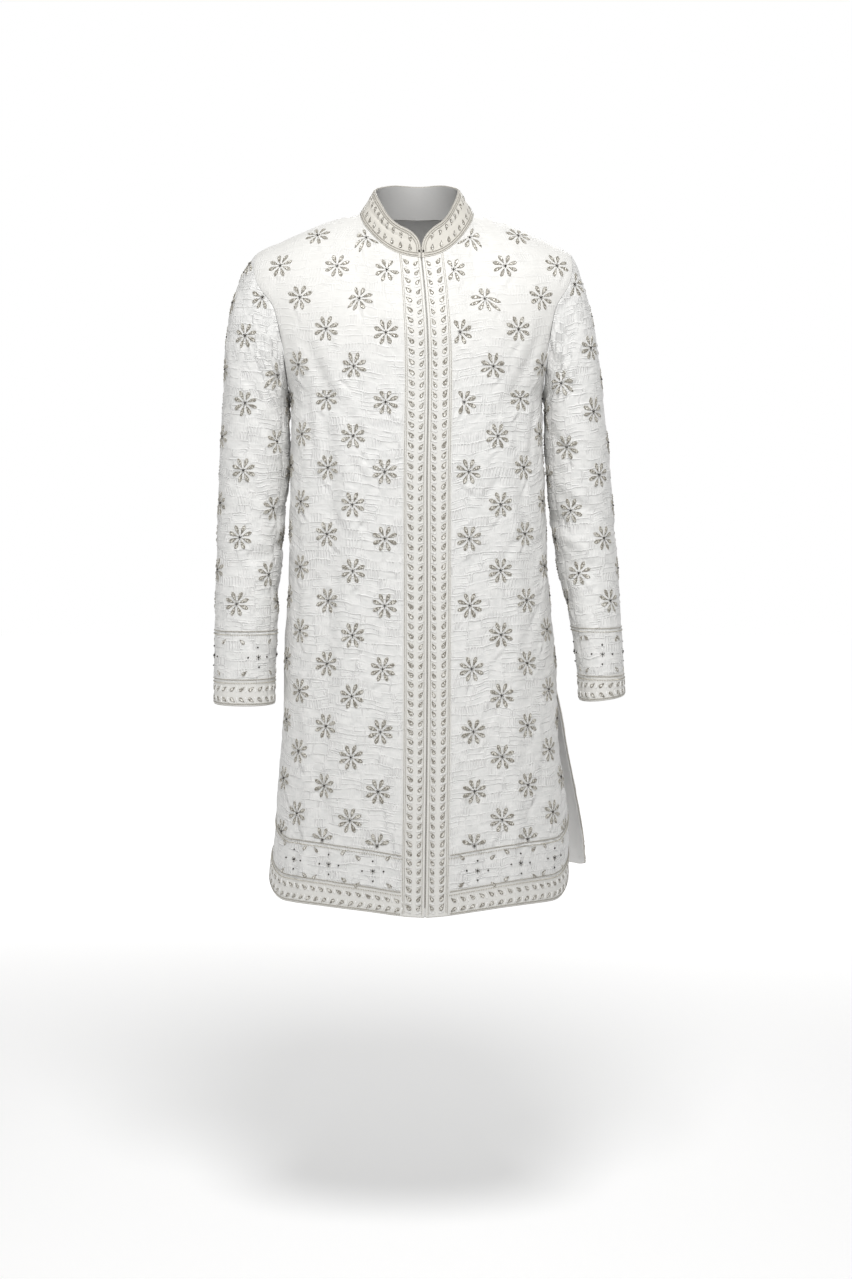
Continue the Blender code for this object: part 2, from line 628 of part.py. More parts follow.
def collar(front_right, back, front_left):
    """The stand collar: it follows the neckline, leans in, and is rounded at its front corners."""
    base = neck_line(front_right, back, front_left)
    length = np.concatenate([[0], np.cumsum(np.linalg.norm(np.diff(base, axis=0), axis=1))])
    near = COLLAR_CORNER * (1 - np.cos(np.linspace(0, math.pi / 2, 7)))
    places = np.unique(np.concatenate([near, length[-1] - near, length]).round(5))
    keep = np.concatenate([[True], np.diff(places) > 0.0012])
    places = places[keep]
    places[-1] = length[-1]
    foot = np.column_stack([np.interp(places, length, base[:, axis]) for axis in range(3)])
    inward = np.array([0.0, COLLAR_MIDDLE_Y, 0.0]) - foot
    inward[:, 2] = 0.0
    inward = unit(inward)
    cos = inward[:, 1]
    climb = (oval(COLLAR["top_z"], cos) - foot[:, 2])[:, None]
    edge = climb * (oval(COLLAR["lean"], cos)[:, None] * inward + np.array([0.0, 0.0, 1.0]))
    slant = np.linalg.norm(edge, axis=1)
    height = slant - corner_rise(np.minimum(places, length[-1] - places), COLLAR_CORNER)
    rise = unit(edge)
    steps = np.arange(COLLAR_STEPS + 1) / COLLAR_STEPS
    outer = foot[None] + rise[None] * (SEAM + steps[:, None, None] * height[None, :, None])
    along = unit(np.gradient(foot, axis=0))
    normals = unit(np.cross(along, rise))
    if (normals * -inward).sum() < 0:
        normals = -normals
    wall("collar", outer, outer - normals[None] * COLLAR_CLOTH)


def underlap(front_left):
    """The plain strip behind the channel, kept to the rows of the front that carries it."""
    rows = front_left[0][:, 0, 2]
    rows = np.concatenate([[UNDERLAP_HEM_Z], rows[1:-1], [UNDERLAP_TOP_Z]])
    middle = read(OPENING, "x", rows)
    across = np.linspace(-1, 1, 5) * (OPENING_HALF + UNDERLAP_REACH)
    x = middle[:, None] + across[None, :]
    z = np.repeat(rows[:, None], len(across), axis=1)
    y = torso_y(np.abs(x), z, "L", "front") - flute(np.abs(x), z, "L", "front") * (z < ARMPIT_Z)
    grid = np.stack([x, y, z], axis=-1)
    normals = grid_normals(grid)
    outer = grid - normals * (CLOTH + UNDERLAP_GAP)
    wall("front_underlap", outer, outer - normals * CLOTH, PLAIN)


def back_lining(back):
    """Plain lining inside the lower back, which shows through the side vents."""
    grid = back[0][:LINING_ROWS + 1].copy()
    normals = back[1][:LINING_ROWS + 1]
    hem = LINING_INSET / (grid[1, :, 2] - grid[0, :, 2])[:, None]
    grid[0] += (grid[1] - grid[0]) * hem
    outer = grid - normals * (CLOTH + SEAM)
    wall("back_lining", outer, outer - normals * LINING_CLOTH, PLAIN)


def build():
    for item in list(bpy.data.objects):
        bpy.data.objects.remove(item)
    right = front_grids("R")
    left = front_grids("L")
    back = back_grids()
    panel_wall("front_right", *right)
    panel_wall("front_left", *left)
    panel_wall("back", *back)
    sleeve_pieces("R", right, back)
    sleeve_pieces("L", left, back)
    collar(right, back, left)
    underlap(left)
    back_lining(back)


build()
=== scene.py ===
"""Looks of a knee-length sherwani coat: ivory silk with raised tonal lines and silver embroidery.

The cloth repeats the coat's form at a finer sampling; folds, puckers and embroidery are laid on it.
Metres, +Z up, +Y towards the back, +X towards the wearer's left; names ending in R are the wearer's
right, at -X. Heights are measured from the neck base. A panel's grid has rows from the hem up and
columns from the middle outwards; u is the distance across the cloth from the middle edge and v the
distance up the cloth from its hem.
"""
import math
from functools import partialmethod

import bpy
import numpy as np
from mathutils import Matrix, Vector


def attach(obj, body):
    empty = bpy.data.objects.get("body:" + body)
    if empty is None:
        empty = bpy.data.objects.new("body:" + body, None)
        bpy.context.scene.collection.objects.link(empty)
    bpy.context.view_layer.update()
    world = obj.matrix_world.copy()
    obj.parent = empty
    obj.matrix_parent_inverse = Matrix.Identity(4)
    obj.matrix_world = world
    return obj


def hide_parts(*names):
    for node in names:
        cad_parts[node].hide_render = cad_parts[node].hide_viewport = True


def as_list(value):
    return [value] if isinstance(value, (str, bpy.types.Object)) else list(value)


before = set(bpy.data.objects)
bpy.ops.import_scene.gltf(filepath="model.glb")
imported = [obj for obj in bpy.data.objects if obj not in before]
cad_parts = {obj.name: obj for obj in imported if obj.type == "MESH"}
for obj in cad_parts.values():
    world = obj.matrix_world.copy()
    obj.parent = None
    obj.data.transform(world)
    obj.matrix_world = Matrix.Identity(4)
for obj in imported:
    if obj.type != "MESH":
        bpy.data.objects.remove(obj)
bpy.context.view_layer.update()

# ---- the coat's sizes, as in its solids
CLOTH = 0.002  # thickness of the lined coat cloth
COLLAR_CLOTH = 0.0025  # thickness of the stiffened collar
LINING_CLOTH = 0.001  # thickness of the plain lining behind the side vents
SEAM = 0.0003  # gap left between two pieces at a seam
LINING_INSET = 0.012  # how far the lining stops above the back's hem
LINING_RISE = 0.06  # height over which it is drawn up
LINING_GAP = 0.0006  # its distance from the back
UNDERLAP_GAP = 0.0006  # gap between a front and the strip that lies behind it
OUT = {"R": -1.0, "L": 1.0}  # the wearer's right is at -X
SHOULDER_REACH = {"R": 0.241, "L": 0.227}  # shoulder tip from the middle
NECK_REACH = {"R": 0.0872, "L": 0.0836}  # where collar and shoulder seam meet
ARMPIT_Z = -0.262
FRONT_NECK_Z = -0.0665  # front end of the neckline
BACK_NECK_Y = 0.049  # middle of the neckline at the back
FRONT_HEM_Z = -1.0228  # lowest part of the fronts' hem, at the opening
BACK_HEM_Z = -1.0  # lowest part of the back's hem, in the middle
HEM_CORNER = 0.03  # radius of the fronts' lower side corners
BACK_CORNER = 0.01
OPENING_HALF = 0.0014  # half of the channel between the two fronts
VENT_TOP_Z = -0.7
COLLAR_MIDDLE_Y = -0.012  # middle of the neck opening, front to back
RIDGE_DEPTH_FRONT = 0.21  # height over which the front rounds over into the shoulder
RIDGE_DEPTH_BACK = 0.17
NECK_SEARCH = 0.08  # how far below the shoulder line the back's neckline is looked for
CUFF_RISE = {"R": 0.001, "L": 0.009}  # how much higher the cuff's outer side ends
CUFF_SLANT = (-0.6, 0.1)  # its slant begins below this height and grows over this distance
UNDERLAP_REACH = 0.014  # how far the strip runs behind each front
UNDERLAP_HEM_Z = -1.01
UNDERLAP_TOP_Z = -0.0705
COLLAR_CORNER = 0.026  # radius of the collar's front corners

# ---- sampling of the cloth
NECK_COLUMNS = 48
SHOULDER_COLUMNS = 56
COLUMNS = NECK_COLUMNS + SHOULDER_COLUMNS
LOW_ROWS = 320  # hem to armpit
HIGH_ROWS = 108  # armpit to shoulder
ARMHOLE_POINTS = 400  # heights at which an armhole's curve is measured
ARMHOLE_GATHER = 1.5  # how closely they gather at the armpit
NECK_POINTS = 300
UP_POINTS = 200  # places read along a line up the cloth, and along a hem
HEM_POINTS = 240
INSIDE_STEP = 4  # the inner face keeps every fourth row and column
CAP_ROWS = 60  # armhole to upper arm
ARM_ROWS = 176  # upper arm to cuff
RING_HALF = 72  # sleeve columns round each half of the arm
FRONT_SLEEVE_SEAM = 18  # sleeve columns, counted up from the armpit
BACK_SLEEVE_SEAM = 30
SLEEVE_SEAMS = (RING_HALF - FRONT_SLEEVE_SEAM, RING_HALF + BACK_SLEEVE_SEAM)
COLLAR_COLUMNS = 240
COLLAR_ROWS = 24
COLLAR_EVEN = 0.45  # the rest of the columns' spacing gathers at the front ends
LINING_TOP_ROW = 168  # rows of the back that the lining covers, up from the hem


def table(text):
    """One array for each column of a text; its first row has the columns' names."""
    rows = [row.split("#")[0].split() for row in text.replace("|", "\n").splitlines()]
    names, *rows = filter(None, rows)
    return dict(zip(names, np.array(rows, dtype=float).T))


# Torso sections: right and left half-widths, depth of front and back, squareness of the section.
BODY = table("""
z right left front back power
-1.045 .229 .229 .153 .158 2.35
-.98 .225 .227 .151 .154 2.35
-.919 .217 .2265 .148 .149 2.4
-.858 .213 .2215 .144 .143 2.4
-.797 .2075 .212 .14 .137 2.45
-.737 .203 .2095 .136 .132 2.5
-.676 .2026 .208 .132 .126 2.5
-.616 .1993 .2025 .128 .118 2.55
-.555 .1948 .1965 .125 .108 2.6
-.495 .193 .193 .124 .102 2.6
-.434 .1918 .1905 .125 .103 2.6
-.36 .1903 .187 .127 .11 2.55
-.3 .1895 .185 .127 .116 2.5
-.262 .1905 .185 .125 .119 2.5
-.22 .2075 .198 .123 .121 2.5
-.19 .2215 .21 .121 .121 2.5
-.162 .238 .225 .119 .12 2.5
-.134 .256 .241 .117 .117 2.5
-.105 .275 .259 .115 .113 2.5
-.087 .285 .269 .114 .11 2.5
-.04 .305 .288 .113 .104 2.5
.03 .315 .297 .112 .098 2.5""")

# The line along the top of the shoulder: reach as a share of the shoulder tip's, height on the
# front and back pieces, depth of the line, and how squarely the cloth turns over it.
RIDGE = table("""
reach front_z back_z y turn
-.1 .0245 .0285 .01 1.62
0 .026 .03 .01 1.62
.1 .0245 .0285 .01 1.62
.2 .019 .0225 .008 1.64
.37 .0045 .0045 .005 1.68
.46 .0005 .0005 .003 1.75
.54 -.0055 -.0055 .002 1.85
.63 -.0137 -.0137 .001 1.95
.74 -.0252 -.0252 0 2.1
.85 -.0372 -.0372 0 2.2
.96 -.049 -.049 0 2.3
1 -.0545 -.0545 0 2.3
1.15 -.083 -.083 0 2.3""")

# The line where the two fronts meet wanders a little to the wearer's left.
OPENING = table("""
z x
-1.045 .01
-.98 .0108
-.737 .0134
-.4 .0134
-.15 .0128
-.105 .0092
-.065 .005""")

# Armhole seams: height, and share of the way out from the armpit to the shoulder tip.
ARMHOLE = {
    "front": table("""
z out
-.262 0
-.25 .04
-.22 .103
-.19 .17
-.162 .275
-.134 .437
-.105 .857
-.087 .995
-.0545 1"""),
    "back": table("""
z out
-.262 0
-.25 .069
-.22 .188
-.19 .313
-.162 .446
-.134 .618
-.105 .848
-.087 .966
-.0545 1"""),
}

# Neckline of a front: share of the way out to the shoulder seam, share of the drop to the front.
NECKLINE = table("""
out drop
0 1
.2 .965
.4 .88
.62 .7
.82 .43
.94 .2
1 0""")

# Stand collar at its front, side and back: height of its top edge, inward lean per unit of rise.
COLLAR = table("turn top_z lean | 0 -.028 .12 | 90 .034 .64 | 180 .048 .35")

# Hems: share of the way out to the side edge, and rise above the lowest part.
HEM = {
    "front": table("out rise | 0 0 | .14 .002 | .33 .007 | .56 .013 | 1 .0125"),
    "back": table("out rise | 0 0 | .5 .004 | 1 .014"),
}

# Arm sections: middle (x is the distance from the coat's middle plane) and half-sizes.
ARM = {
    "R": table("""
z x y half_x half_y
-.722 .2602 -.03 .0455 .05
-.68 .2598 -.025 .0458 .051
-.616 .2584 -.014 .0467 .053
-.555 .2568 -.004 .0476 .055
-.495 .2535 .005 .0492 .057
-.434 .25 .01 .051 .059
-.374 .2457 .01 .0527 .062
-.34 .2445 .008 .052 .064
-.3 .2432 .006 .0505 .0655"""),
    "L": table("""
z x y half_x half_y
-.716 .275 -.034 .034 .057
-.667 .2727 -.028 .0348 .058
-.617 .2683 -.018 .0368 .0585
-.555 .26 -.004 .0425 .058
-.495 .252 .005 .0463 .059
-.434 .2455 .01 .0478 .061
-.374 .2405 .01 .0482 .0635
-.34 .238 .008 .0475 .065
-.3 .2345 .006 .0455 .066"""),
}
ARM_POWER = 2.15
ARM_START = 0.02  # the arm's direction at its top is read over this distance
SLEEVE_ROUND = 0.34  # a sleeve's usual length round, for its folds
UNDERARM_SPREAD = 0.22  # how steeply the sleeve leaves the side of the coat under the arm

# Sleeve heads: how strongly the top stands out, and the pull of the curve at armhole and arm.
SLEEVE_HEAD = {"R": (0.5, 1.0, 1.5), "L": (0.3, 1.1, 0.4)}

# Side edges below the vents: how far a piece's edge moves out and back from the plain section.
VENT = {
    ("R", "front"): table("z out back | -1.045 0 -.004 | -.85 0 -.002 | -.7 0 0"),
    ("L", "front"): table("z out back | -1.045 0 -.008 | -.85 .001 -.004 | -.7 0 0"),
    ("R", "back"): table("z out back | -1.02 -.008 .012 | -.85 -.006 .007 | -.76 -.002 .002 | -.7 0 0"),
    ("L", "back"): table("""
z out back
-1.02 .033 .034
-.95 .029 .028
-.858 .019 .018
-.797 .016 .011
-.75 .01 .005
-.7 0 0"""),
}
SEAM_UPWARD = 0.35  # side and shoulder seams face out and up by this much
VENT_SPREAD = 0.45  # share of the piece's width that swings with its side edge

# Soft flutes of the skirt: where they lie across the half-width, how proud, how wide, and the
# height at which each has died away.
FLUTES = {
    ("R", "front"): table("at proud width top | .58 .006 .16 -.33 | .28 -.003 .16 -.52"),
    ("L", "front"): table("at proud width top | .62 .005 .16 -.38 | .3 -.0025 .16 -.55"),
    ("R", "back"): table("at proud width top | .25 .0055 .15 -.55 | .68 .006 .16 -.5"),
    ("L", "back"): table("at proud width top | .32 .0055 .15 -.58 | .74 .005 .16 -.52"),
}

# Soft creases across the sleeves near the elbow: height, angle round the arm (0 is outermost, 90
# is the front), slope along the crease, depth, and half-sizes along and across it.
CREASES = {
    "R": table("""
z angle slope deep along across
-.44 150 .02 .003 60 .013
-.5 120 .026 .0034 70 .014
-.555 165 -.018 .0028 55 .013"""),
    "L": table("""
z angle slope deep along across
-.45 140 .018 .0028 60 .013
-.515 115 .024 .0034 70 .014
-.57 160 -.016 .0026 55 .013"""),
}


def read(rows, column, at, key="z"):
    """Read a table's column at any key as a smooth curve through its rows."""
    keys = rows[key]
    values = rows[column]
    at = np.clip(at, keys[0], keys[-1])
    low = np.clip(np.searchsorted(keys, at, side="right") - 1, 0, len(keys) - 2)
    span = keys[low + 1] - keys[low]
    part = (at - keys[low]) / span
    slope = np.gradient(values, keys)
    rise = ((1 + 2 * part) * (1 - part) ** 2 * values[low]
            + part ** 2 * (3 - 2 * part) * values[low + 1])
    bend = part * (1 - part) ** 2 * slope[low] + part ** 2 * (part - 1) * slope[low + 1]
    return rise + bend * span


def unit(vectors):
    """Scale vectors to length one."""
    return vectors / np.linalg.norm(vectors, axis=-1, keepdims=True)


def square_to(axis, vectors):
    """Unit vectors with their part along an axis taken out."""
    return unit(vectors - (vectors * axis).sum(-1, keepdims=True) * axis)


def ease(share):
    """Rise smoothly from 0 to 1."""
    share = np.clip(share, 0.0, 1.0)
    return share * share * (3 - 2 * share)


def side_name(side):
    return "right" if side == "R" else "left"


def stack(*parts):
    """Put arrays side by side along a new last axis."""
    return np.stack(np.broadcast_arrays(*parts), axis=-1)


def length_along(line):
    """Distance of each point of a line from its start."""
    return np.concatenate([[0], np.cumsum(np.linalg.norm(np.diff(line, axis=0), axis=1))])


def read_line(line, length, at):
    """Points of a line at new distances along it."""
    return np.column_stack([np.interp(at, length, column) for column in line.T])


# ---- the torso's form
def shoulder(column, reach, side):
    """Read the line along the top of the shoulder at a distance out from the middle plane."""
    return read(RIDGE, column, np.abs(reach / SHOULDER_REACH[side]), "reach")


def torso_y(reach, z, side, face):
    """Depth of the coat's outer face at a distance out from the middle plane and a height."""
    top_z = shoulder(face + "_z", reach, side)
    turn = shoulder("turn", reach, side)
    ridge_depth = RIDGE_DEPTH_FRONT if face == "front" else RIDGE_DEPTH_BACK
    below = np.clip((top_z - z) / ridge_depth, 0.0, 1.0)
    fullness = (1 - (1 - below) ** turn) ** (1 / turn)
    half = read(BODY, side_name(side), z)
    power = read(BODY, "power", z)
    across = np.clip(1 - np.abs(reach / half) ** power, 0.0, 1.0) ** (1 / power)
    depth = read(BODY, face, z) * across * fullness
    ridge_y = shoulder("y", reach, side) * (1 - fullness)
    return ridge_y + (-depth if face == "front" else depth)


def front_edge_reach(z, side):
    """Distance of a front's opening edge out from the middle plane."""
    return OUT[side] * read(OPENING, "x", z) + OPENING_HALF


def corner_rise(distance, radius):
    """How far a round corner lifts an edge, at a distance from the piece's end."""
    inside = np.clip(radius - distance, 0.0, radius)
    return radius - np.sqrt(radius ** 2 - inside ** 2)


def hem_z(out_share, width, face):
    """Height of the hem across a half panel, rounded up at the side corner."""
    level = FRONT_HEM_Z if face == "front" else BACK_HEM_Z
    radius = HEM_CORNER if face == "front" else BACK_CORNER
    rise = read(HEM[face], "rise", out_share, "out")
    return level + rise + corner_rise((1 - out_share) * width, radius)


def armhole(side, face, shares):
    """Reach, depth and height along an armhole seam, from the armpit up to the shoulder tip."""
    rows = ARMHOLE[face]
    up = np.linspace(0, 1, ARMHOLE_POINTS) ** ARMHOLE_GATHER
    fine_z = ARMPIT_Z + (rows["z"][-1] - ARMPIT_Z) * up
    armpit = read(BODY, side_name(side), ARMPIT_Z)
    reach = armpit + (SHOULDER_REACH[side] - armpit) * read(rows, "out", fine_z)
    y = torso_y(reach, fine_z, side, face)
    curve = np.column_stack([reach, y, fine_z])
    length = length_along(curve)
    return read_line(curve, length, shares * length[-1])


def column_shares():
    """Across a half panel: shares of the width, closer together towards the side."""
    return np.sin(np.arange(COLUMNS + 1) / COLUMNS * math.pi / 2)


def row_shares(count=HIGH_ROWS):
    """From armpit to shoulder: rows a little closer together at both ends."""
    even = np.arange(count + 1) / count
    return 0.5 * even + 0.25 * (1 - np.cos(math.pi * even))


def inner_reach(z, side, face):
    """Where a half panel starts: at the front opening, or at the middle of the back."""
    return front_edge_reach(z, side) if face == "front" else np.zeros_like(z)


def low_part(side, face):
    """Reach and height of a half panel's grid from the hem up to the armpit."""
    shares = column_shares()
    width = read(BODY, side_name(side), FRONT_HEM_Z)
    hem = hem_z(shares, width, face)
    up = np.arange(LOW_ROWS + 1)[:, None] / LOW_ROWS
    z = hem[None, :] * (1 - up) + ARMPIT_Z * up
    start = inner_reach(z, side, face)
    half = read(BODY, side_name(side), z)
    return start + (half - start) * shares[None, :], z


def back_neck_height(reach, share, side):
    """Height at which the back reaches the neck's oval, a share of the way to its middle."""
    seam_y = shoulder("y", NECK_REACH[side], side)
    wanted = seam_y + (BACK_NECK_Y - seam_y) * share
    top = shoulder("back_z", reach, side)
    below = np.linspace(0.0, NECK_SEARCH, NECK_POINTS)
    depth = torso_y(np.full_like(below, reach), top - below, side, "back")
    return top - np.interp(wanted, depth, below)


def top_line(side, face):
    """Reach and height along the neckline and then the shoulder seam, from the middle outwards."""
    angle = np.arange(NECK_COLUMNS + 1) / NECK_COLUMNS * math.pi / 2
    out = np.sin(angle)
    seam_z = shoulder("front_z", NECK_REACH[side], side)
    if face == "front":
        start = front_edge_reach(FRONT_NECK_Z, side)
        neck_z = seam_z + (FRONT_NECK_Z - seam_z) * read(NECKLINE, "drop", out, "out")
    else:
        start = 0.0
        neck_z = [back_neck_height(NECK_REACH[side] * sin, cos, side)
                  for sin, cos in zip(out, np.cos(angle))]
        neck_z[-1] = seam_z
    neck_reach = start + (NECK_REACH[side] - start) * out
    along = np.arange(1, SHOULDER_COLUMNS + 1) / SHOULDER_COLUMNS
    seam_reach = NECK_REACH[side] + (SHOULDER_REACH[side] - NECK_REACH[side]) * along
    seam = shoulder("front_z", seam_reach, side)
    return np.concatenate([neck_reach, seam_reach]), np.concatenate([neck_z, seam])


def high_part(side, face, bottom):
    """Reach and height of a half panel's grid above the armpit, blended from its four edges."""
    up = row_shares()
    top = np.stack(top_line(side, face), axis=-1)
    middle_z = ARMPIT_Z + (top[0, 1] - ARMPIT_Z) * up
    middle = stack(inner_reach(middle_z, side, face), middle_z)
    hole = armhole(side, face, up)[:, [0, 2]]
    hole[0] = bottom[-1]
    hole[-1] = top[-1]
    u = (np.arange(COLUMNS + 1) / COLUMNS)[None, :, None]
    v = up[:, None, None]
    blend = (1 - v) * bottom[None] + v * top[None] + (1 - u) * middle[:, None] + u * hole[:, None]
    corners = ((1 - u) * ((1 - v) * bottom[0] + v * top[0])
               + u * ((1 - v) * bottom[-1] + v * top[-1]))
    grid = blend - corners
    return grid[..., 0], grid[..., 1]


def flute(reach, z, side, face):
    """How far the skirt's soft flutes stand proud of the plain section."""
    rows = FLUTES[side, face]
    share = reach / read(BODY, side_name(side), z)
    proud = np.zeros_like(z)
    for at, height, width, top in zip(rows["at"], rows["proud"], rows["width"], rows["top"]):
        fade = ease((top - z) / (top - BACK_HEM_Z))
        proud += height * fade * np.exp(-((share - at) / width) ** 2)
    return proud


def half_panel(side, face):
    """Outer points of a half panel as rows from the hem up, columns from the middle outwards."""
    low_reach, low_z = low_part(side, face)
    high_reach, high_z = high_part(side, face, stack(low_reach[-1], low_z[-1]))
    reach = np.vstack([low_reach, high_reach[1:]])
    z = np.vstack([low_z, high_z[1:]])
    y = torso_y(reach, z, side, face)
    towards = -1.0 if face == "front" else 1.0
    y[:LOW_ROWS + 1] += towards * flute(reach, z, side, face)[:LOW_ROWS + 1]
    y[:LOW_ROWS + 1, -1] = 0.0
    y[LOW_ROWS:, -1] = armhole(side, face, row_shares())[:, 1]
    y[LOW_ROWS, -1] = 0.0
    y[-1, NECK_COLUMNS:] = shoulder("y", reach[-1, NECK_COLUMNS:], side)
    swing = ease(1 - (1 - column_shares()) / VENT_SPREAD)[None, :]
    vent = VENT[side, face]
    reach = reach + swing * read(vent, "out", z) * (z < VENT_TOP_Z)
    y = y + swing * read(vent, "back", z) * (z < VENT_TOP_Z)
    y[:LOW_ROWS + 1, -1] += towards * SEAM / 2
    y[-1, NECK_COLUMNS:] += towards * SEAM / 2
    return stack(OUT[side] * reach, y, z)


def grid_normals(grid):
    """Outward normals of a grid of points on the torso or collar."""
    down = np.gradient(grid, axis=0)
    across = np.gradient(grid, axis=1)
    normals = unit(np.cross(across, down))
    away = grid * np.array([1.0, 1.0, 0.0])
    return normals if (normals * away).sum() > 0 else -normals


def seam_normals(points, side):
    """Normals along a side or shoulder seam, the same for both pieces that meet there."""
    along = unit(np.gradient(points, axis=0) * np.array([1.0, 0.0, 1.0]))
    normals = np.cross(along, np.array([0.0, 1.0, 0.0]))
    outward = np.array([OUT[side], 0.0, SEAM_UPWARD])
    flip = np.where((normals * outward).sum(axis=-1, keepdims=True) < 0, -1.0, 1.0)
    return normals * flip


def set_seam_normals(grid, normals, side, last):
    """Give the side and shoulder seams their shared normals, at a grid's last or first columns."""
    edge = -1 if last else 0
    top = slice(-1 - SHOULDER_COLUMNS, None) if last else slice(0, SHOULDER_COLUMNS + 1)
    normals[:LOW_ROWS + 1, edge] = seam_normals(grid[:LOW_ROWS + 1, edge], side)
    normals[-1, top] = seam_normals(grid[-1, top], side)


# ---- folds: soft troughs and ridges
# Across the cloth from the middle edge, height, direction from level in degrees, half-length,
# half-width, and depth: below zero is a trough with a soft ridge beside it.
FOLDS = {
    "front_R": table("""
u z turn long wide deep
.114 -.66 90 .27 .011 .0032  # the edge where the skirt turns to the side
.15 -.66 91 .26 .017 -.0044
.188 -.62 89 .22 .011 .0018
.116 -.37 84 .12 .01 .002  # the hollow below the armhole and its edge
.148 -.37 83 .13 .014 -.0034
.16 -.235 62 .06 .01 -.003  # drags from the armhole
.178 -.33 80 .07 .009 -.0026
.112 -.3 58 .05 .0085 -.0018
.098 -.378 52 .022 .006 -.0024  # short drags between the flowers
.082 -.47 56 .024 .006 -.0018
.128 -.452 48 .026 .0065 -.002
.07 -.59 50 .028 .0065 -.0018
.152 -.56 60 .034 .007 -.0018
.09 -.69 54 .03 .007 -.0018
.18 -.69 80 .06 .009 -.0022
.074 -.8 56 .03 .007 -.0018
.16 -.84 68 .05 .009 -.0022
.1 -.89 62 .034 .0075 -.0018
.205 -.94 96 .06 .01 -.0026
.06 -.17 30 .036 .01 -.0012"""),
    "front_L": table("""
u z turn long wide deep
.132 -.72 90 .28 .012 .003
.142 -.38 97 .12 .014 -.0028
.15 -.225 62 .06 .01 -.0028
.168 -.33 78 .07 .009 -.0024
.105 -.29 58 .046 .0085 -.0018
.095 -.4 52 .024 .006 -.002
.072 -.5 56 .026 .0062 -.0018
.13 -.48 50 .028 .0066 -.0018
.084 -.61 54 .03 .0066 -.0018
.166 -.59 64 .036 .008 -.002
.096 -.72 56 .03 .007 -.0018
.19 -.78 82 .06 .009 -.0024
.078 -.84 58 .03 .007 -.0018
.15 -.9 72 .05 .009 -.0022
.06 -.18 32 .036 .01 -.0012"""),
    "back_R": table("""
u z turn long wide deep
.15 -.24 64 .07 .011 -.003
.11 -.3 50 .05 .009 -.002
.06 -.42 12 .07 .01 -.0024  # soft rolls in the small of the back
.085 -.47 166 .06 .0095 -.0022
.13 -.51 28 .044 .0085 -.002
.17 -.42 70 .06 .009 -.002
.1 -.62 76 .07 .01 -.0018
.055 -.78 88 .11 .012 -.0022
.16 -.8 94 .1 .012 -.0026
.11 -.93 90 .07 .011 .0026
.205 -.95 100 .05 .01 -.0024
.03 -.13 10 .05 .01 -.0012"""),
    "back_L": table("""
u z turn long wide deep
.146 -.25 64 .07 .011 -.0028
.104 -.32 50 .046 .009 -.002
.07 -.44 16 .07 .01 -.0022
.11 -.49 166 .056 .0095 -.0022
.15 -.54 30 .044 .0085 -.0018
.166 -.41 72 .06 .009 -.002
.09 -.65 80 .07 .01 -.0018
.07 -.82 88 .11 .012 -.0022
.17 -.78 94 .09 .012 -.0024
.12 -.94 90 .07 .011 .0024
.06 -.15 10 .05 .01 -.0012"""),
}

# The same for the sleeves: angle round the arm (0 is outermost, 90 is the front) and distance up
# from the cuff.
SLEEVE_FOLDS = {
    "R": table("""
angle v turn long wide deep
60 .6 70 .06 .01 -.002
118 .52 112 .07 .0095 -.003
86 .47 128 .046 .008 -.0016
132 .4 140 .046 .008 -.0026
70 .385 150 .04 .008 -.0014
112 .31 152 .05 .008 -.0024
50 .29 160 .04 .008 -.0014
142 .245 160 .044 .0075 -.0024
95 .225 148 .034 .007 -.0014
120 .17 156 .036 .007 -.0018
62 .15 20 .03 .007 -.0012
230 .48 60 .06 .01 -.0026
285 .42 40 .06 .01 -.0022
250 .33 28 .05 .009 -.0024
300 .29 20 .046 .009 -.002
225 .25 24 .05 .0085 -.0022
330 .54 100 .06 .01 -.0016
270 .16 30 .04 .008 -.0014"""),
    "L": table("""
angle v turn long wide deep
62 .59 110 .06 .01 -.002
116 .51 68 .07 .0095 -.0028
84 .45 54 .046 .008 -.0018
130 .39 42 .046 .008 -.0024
64 .37 32 .044 .008 -.0018
110 .3 30 .05 .008 -.0024
56 .27 24 .044 .008 -.0018
138 .235 22 .044 .0075 -.0022
92 .205 34 .036 .007 -.0018
70 .15 160 .03 .007 -.0014
232 .47 122 .06 .01 -.0026
288 .41 138 .06 .01 -.0022
248 .32 150 .05 .009 -.0024
300 .27 158 .046 .009 -.002
226 .24 154 .05 .0085 -.0022
330 .53 80 .06 .01 -.0016"""),
}
FOLD_RIDGE = 0.55  # height of the ridge beside a trough, as a share of its depth
FOLD_RIDGE_AT = 1.8  # where that ridge lies, in half-widths
EDGE_FADE = 0.014  # folds die away over this distance from a seam
CUFF_FADE = 0.03  # and from a cuff

# ---- relief of the outer face
PUCKER = 0.0011  # how far the cloth between the flowers puckers
PUCKER_SIZE = 0.024
PUCKER_PARTS = ((0.7, 0.8, 1.0), (0.6, 0.7, 0.45))  # share, stretch across and size of each
DRAG = 0.002  # depth of the short drags that the stitching pulls beside a flower
DRAG_SHARES = (0.5, 1.2)  # shares of that depth
DRAG_LONG = 0.012
DRAG_WIDE = 0.0031
DRAG_RIDGE = (0.7, 1.7)  # height and place of the ridge beside a drag
DRAG_ACROSS = 0.016  # where a drag lies: across and below its flower, and its turn in degrees
DRAG_BELOW = (0.02, 0.03)
DRAG_TURN = (40, 68)
MIRRORED = 0.2  # share of the drags that turn the other way
HALO = 0.0007  # raised ring that the stitching leaves round a flower
HALO_REACH = 0.0235
HALO_WIDTH = 0.0042
HALO_MEAN, HALO_SWING = 0.75, 0.35  # its height wanders round the flower
UNDER_FLOWER = 0.6  # share of the puckers pressed flat under a flower
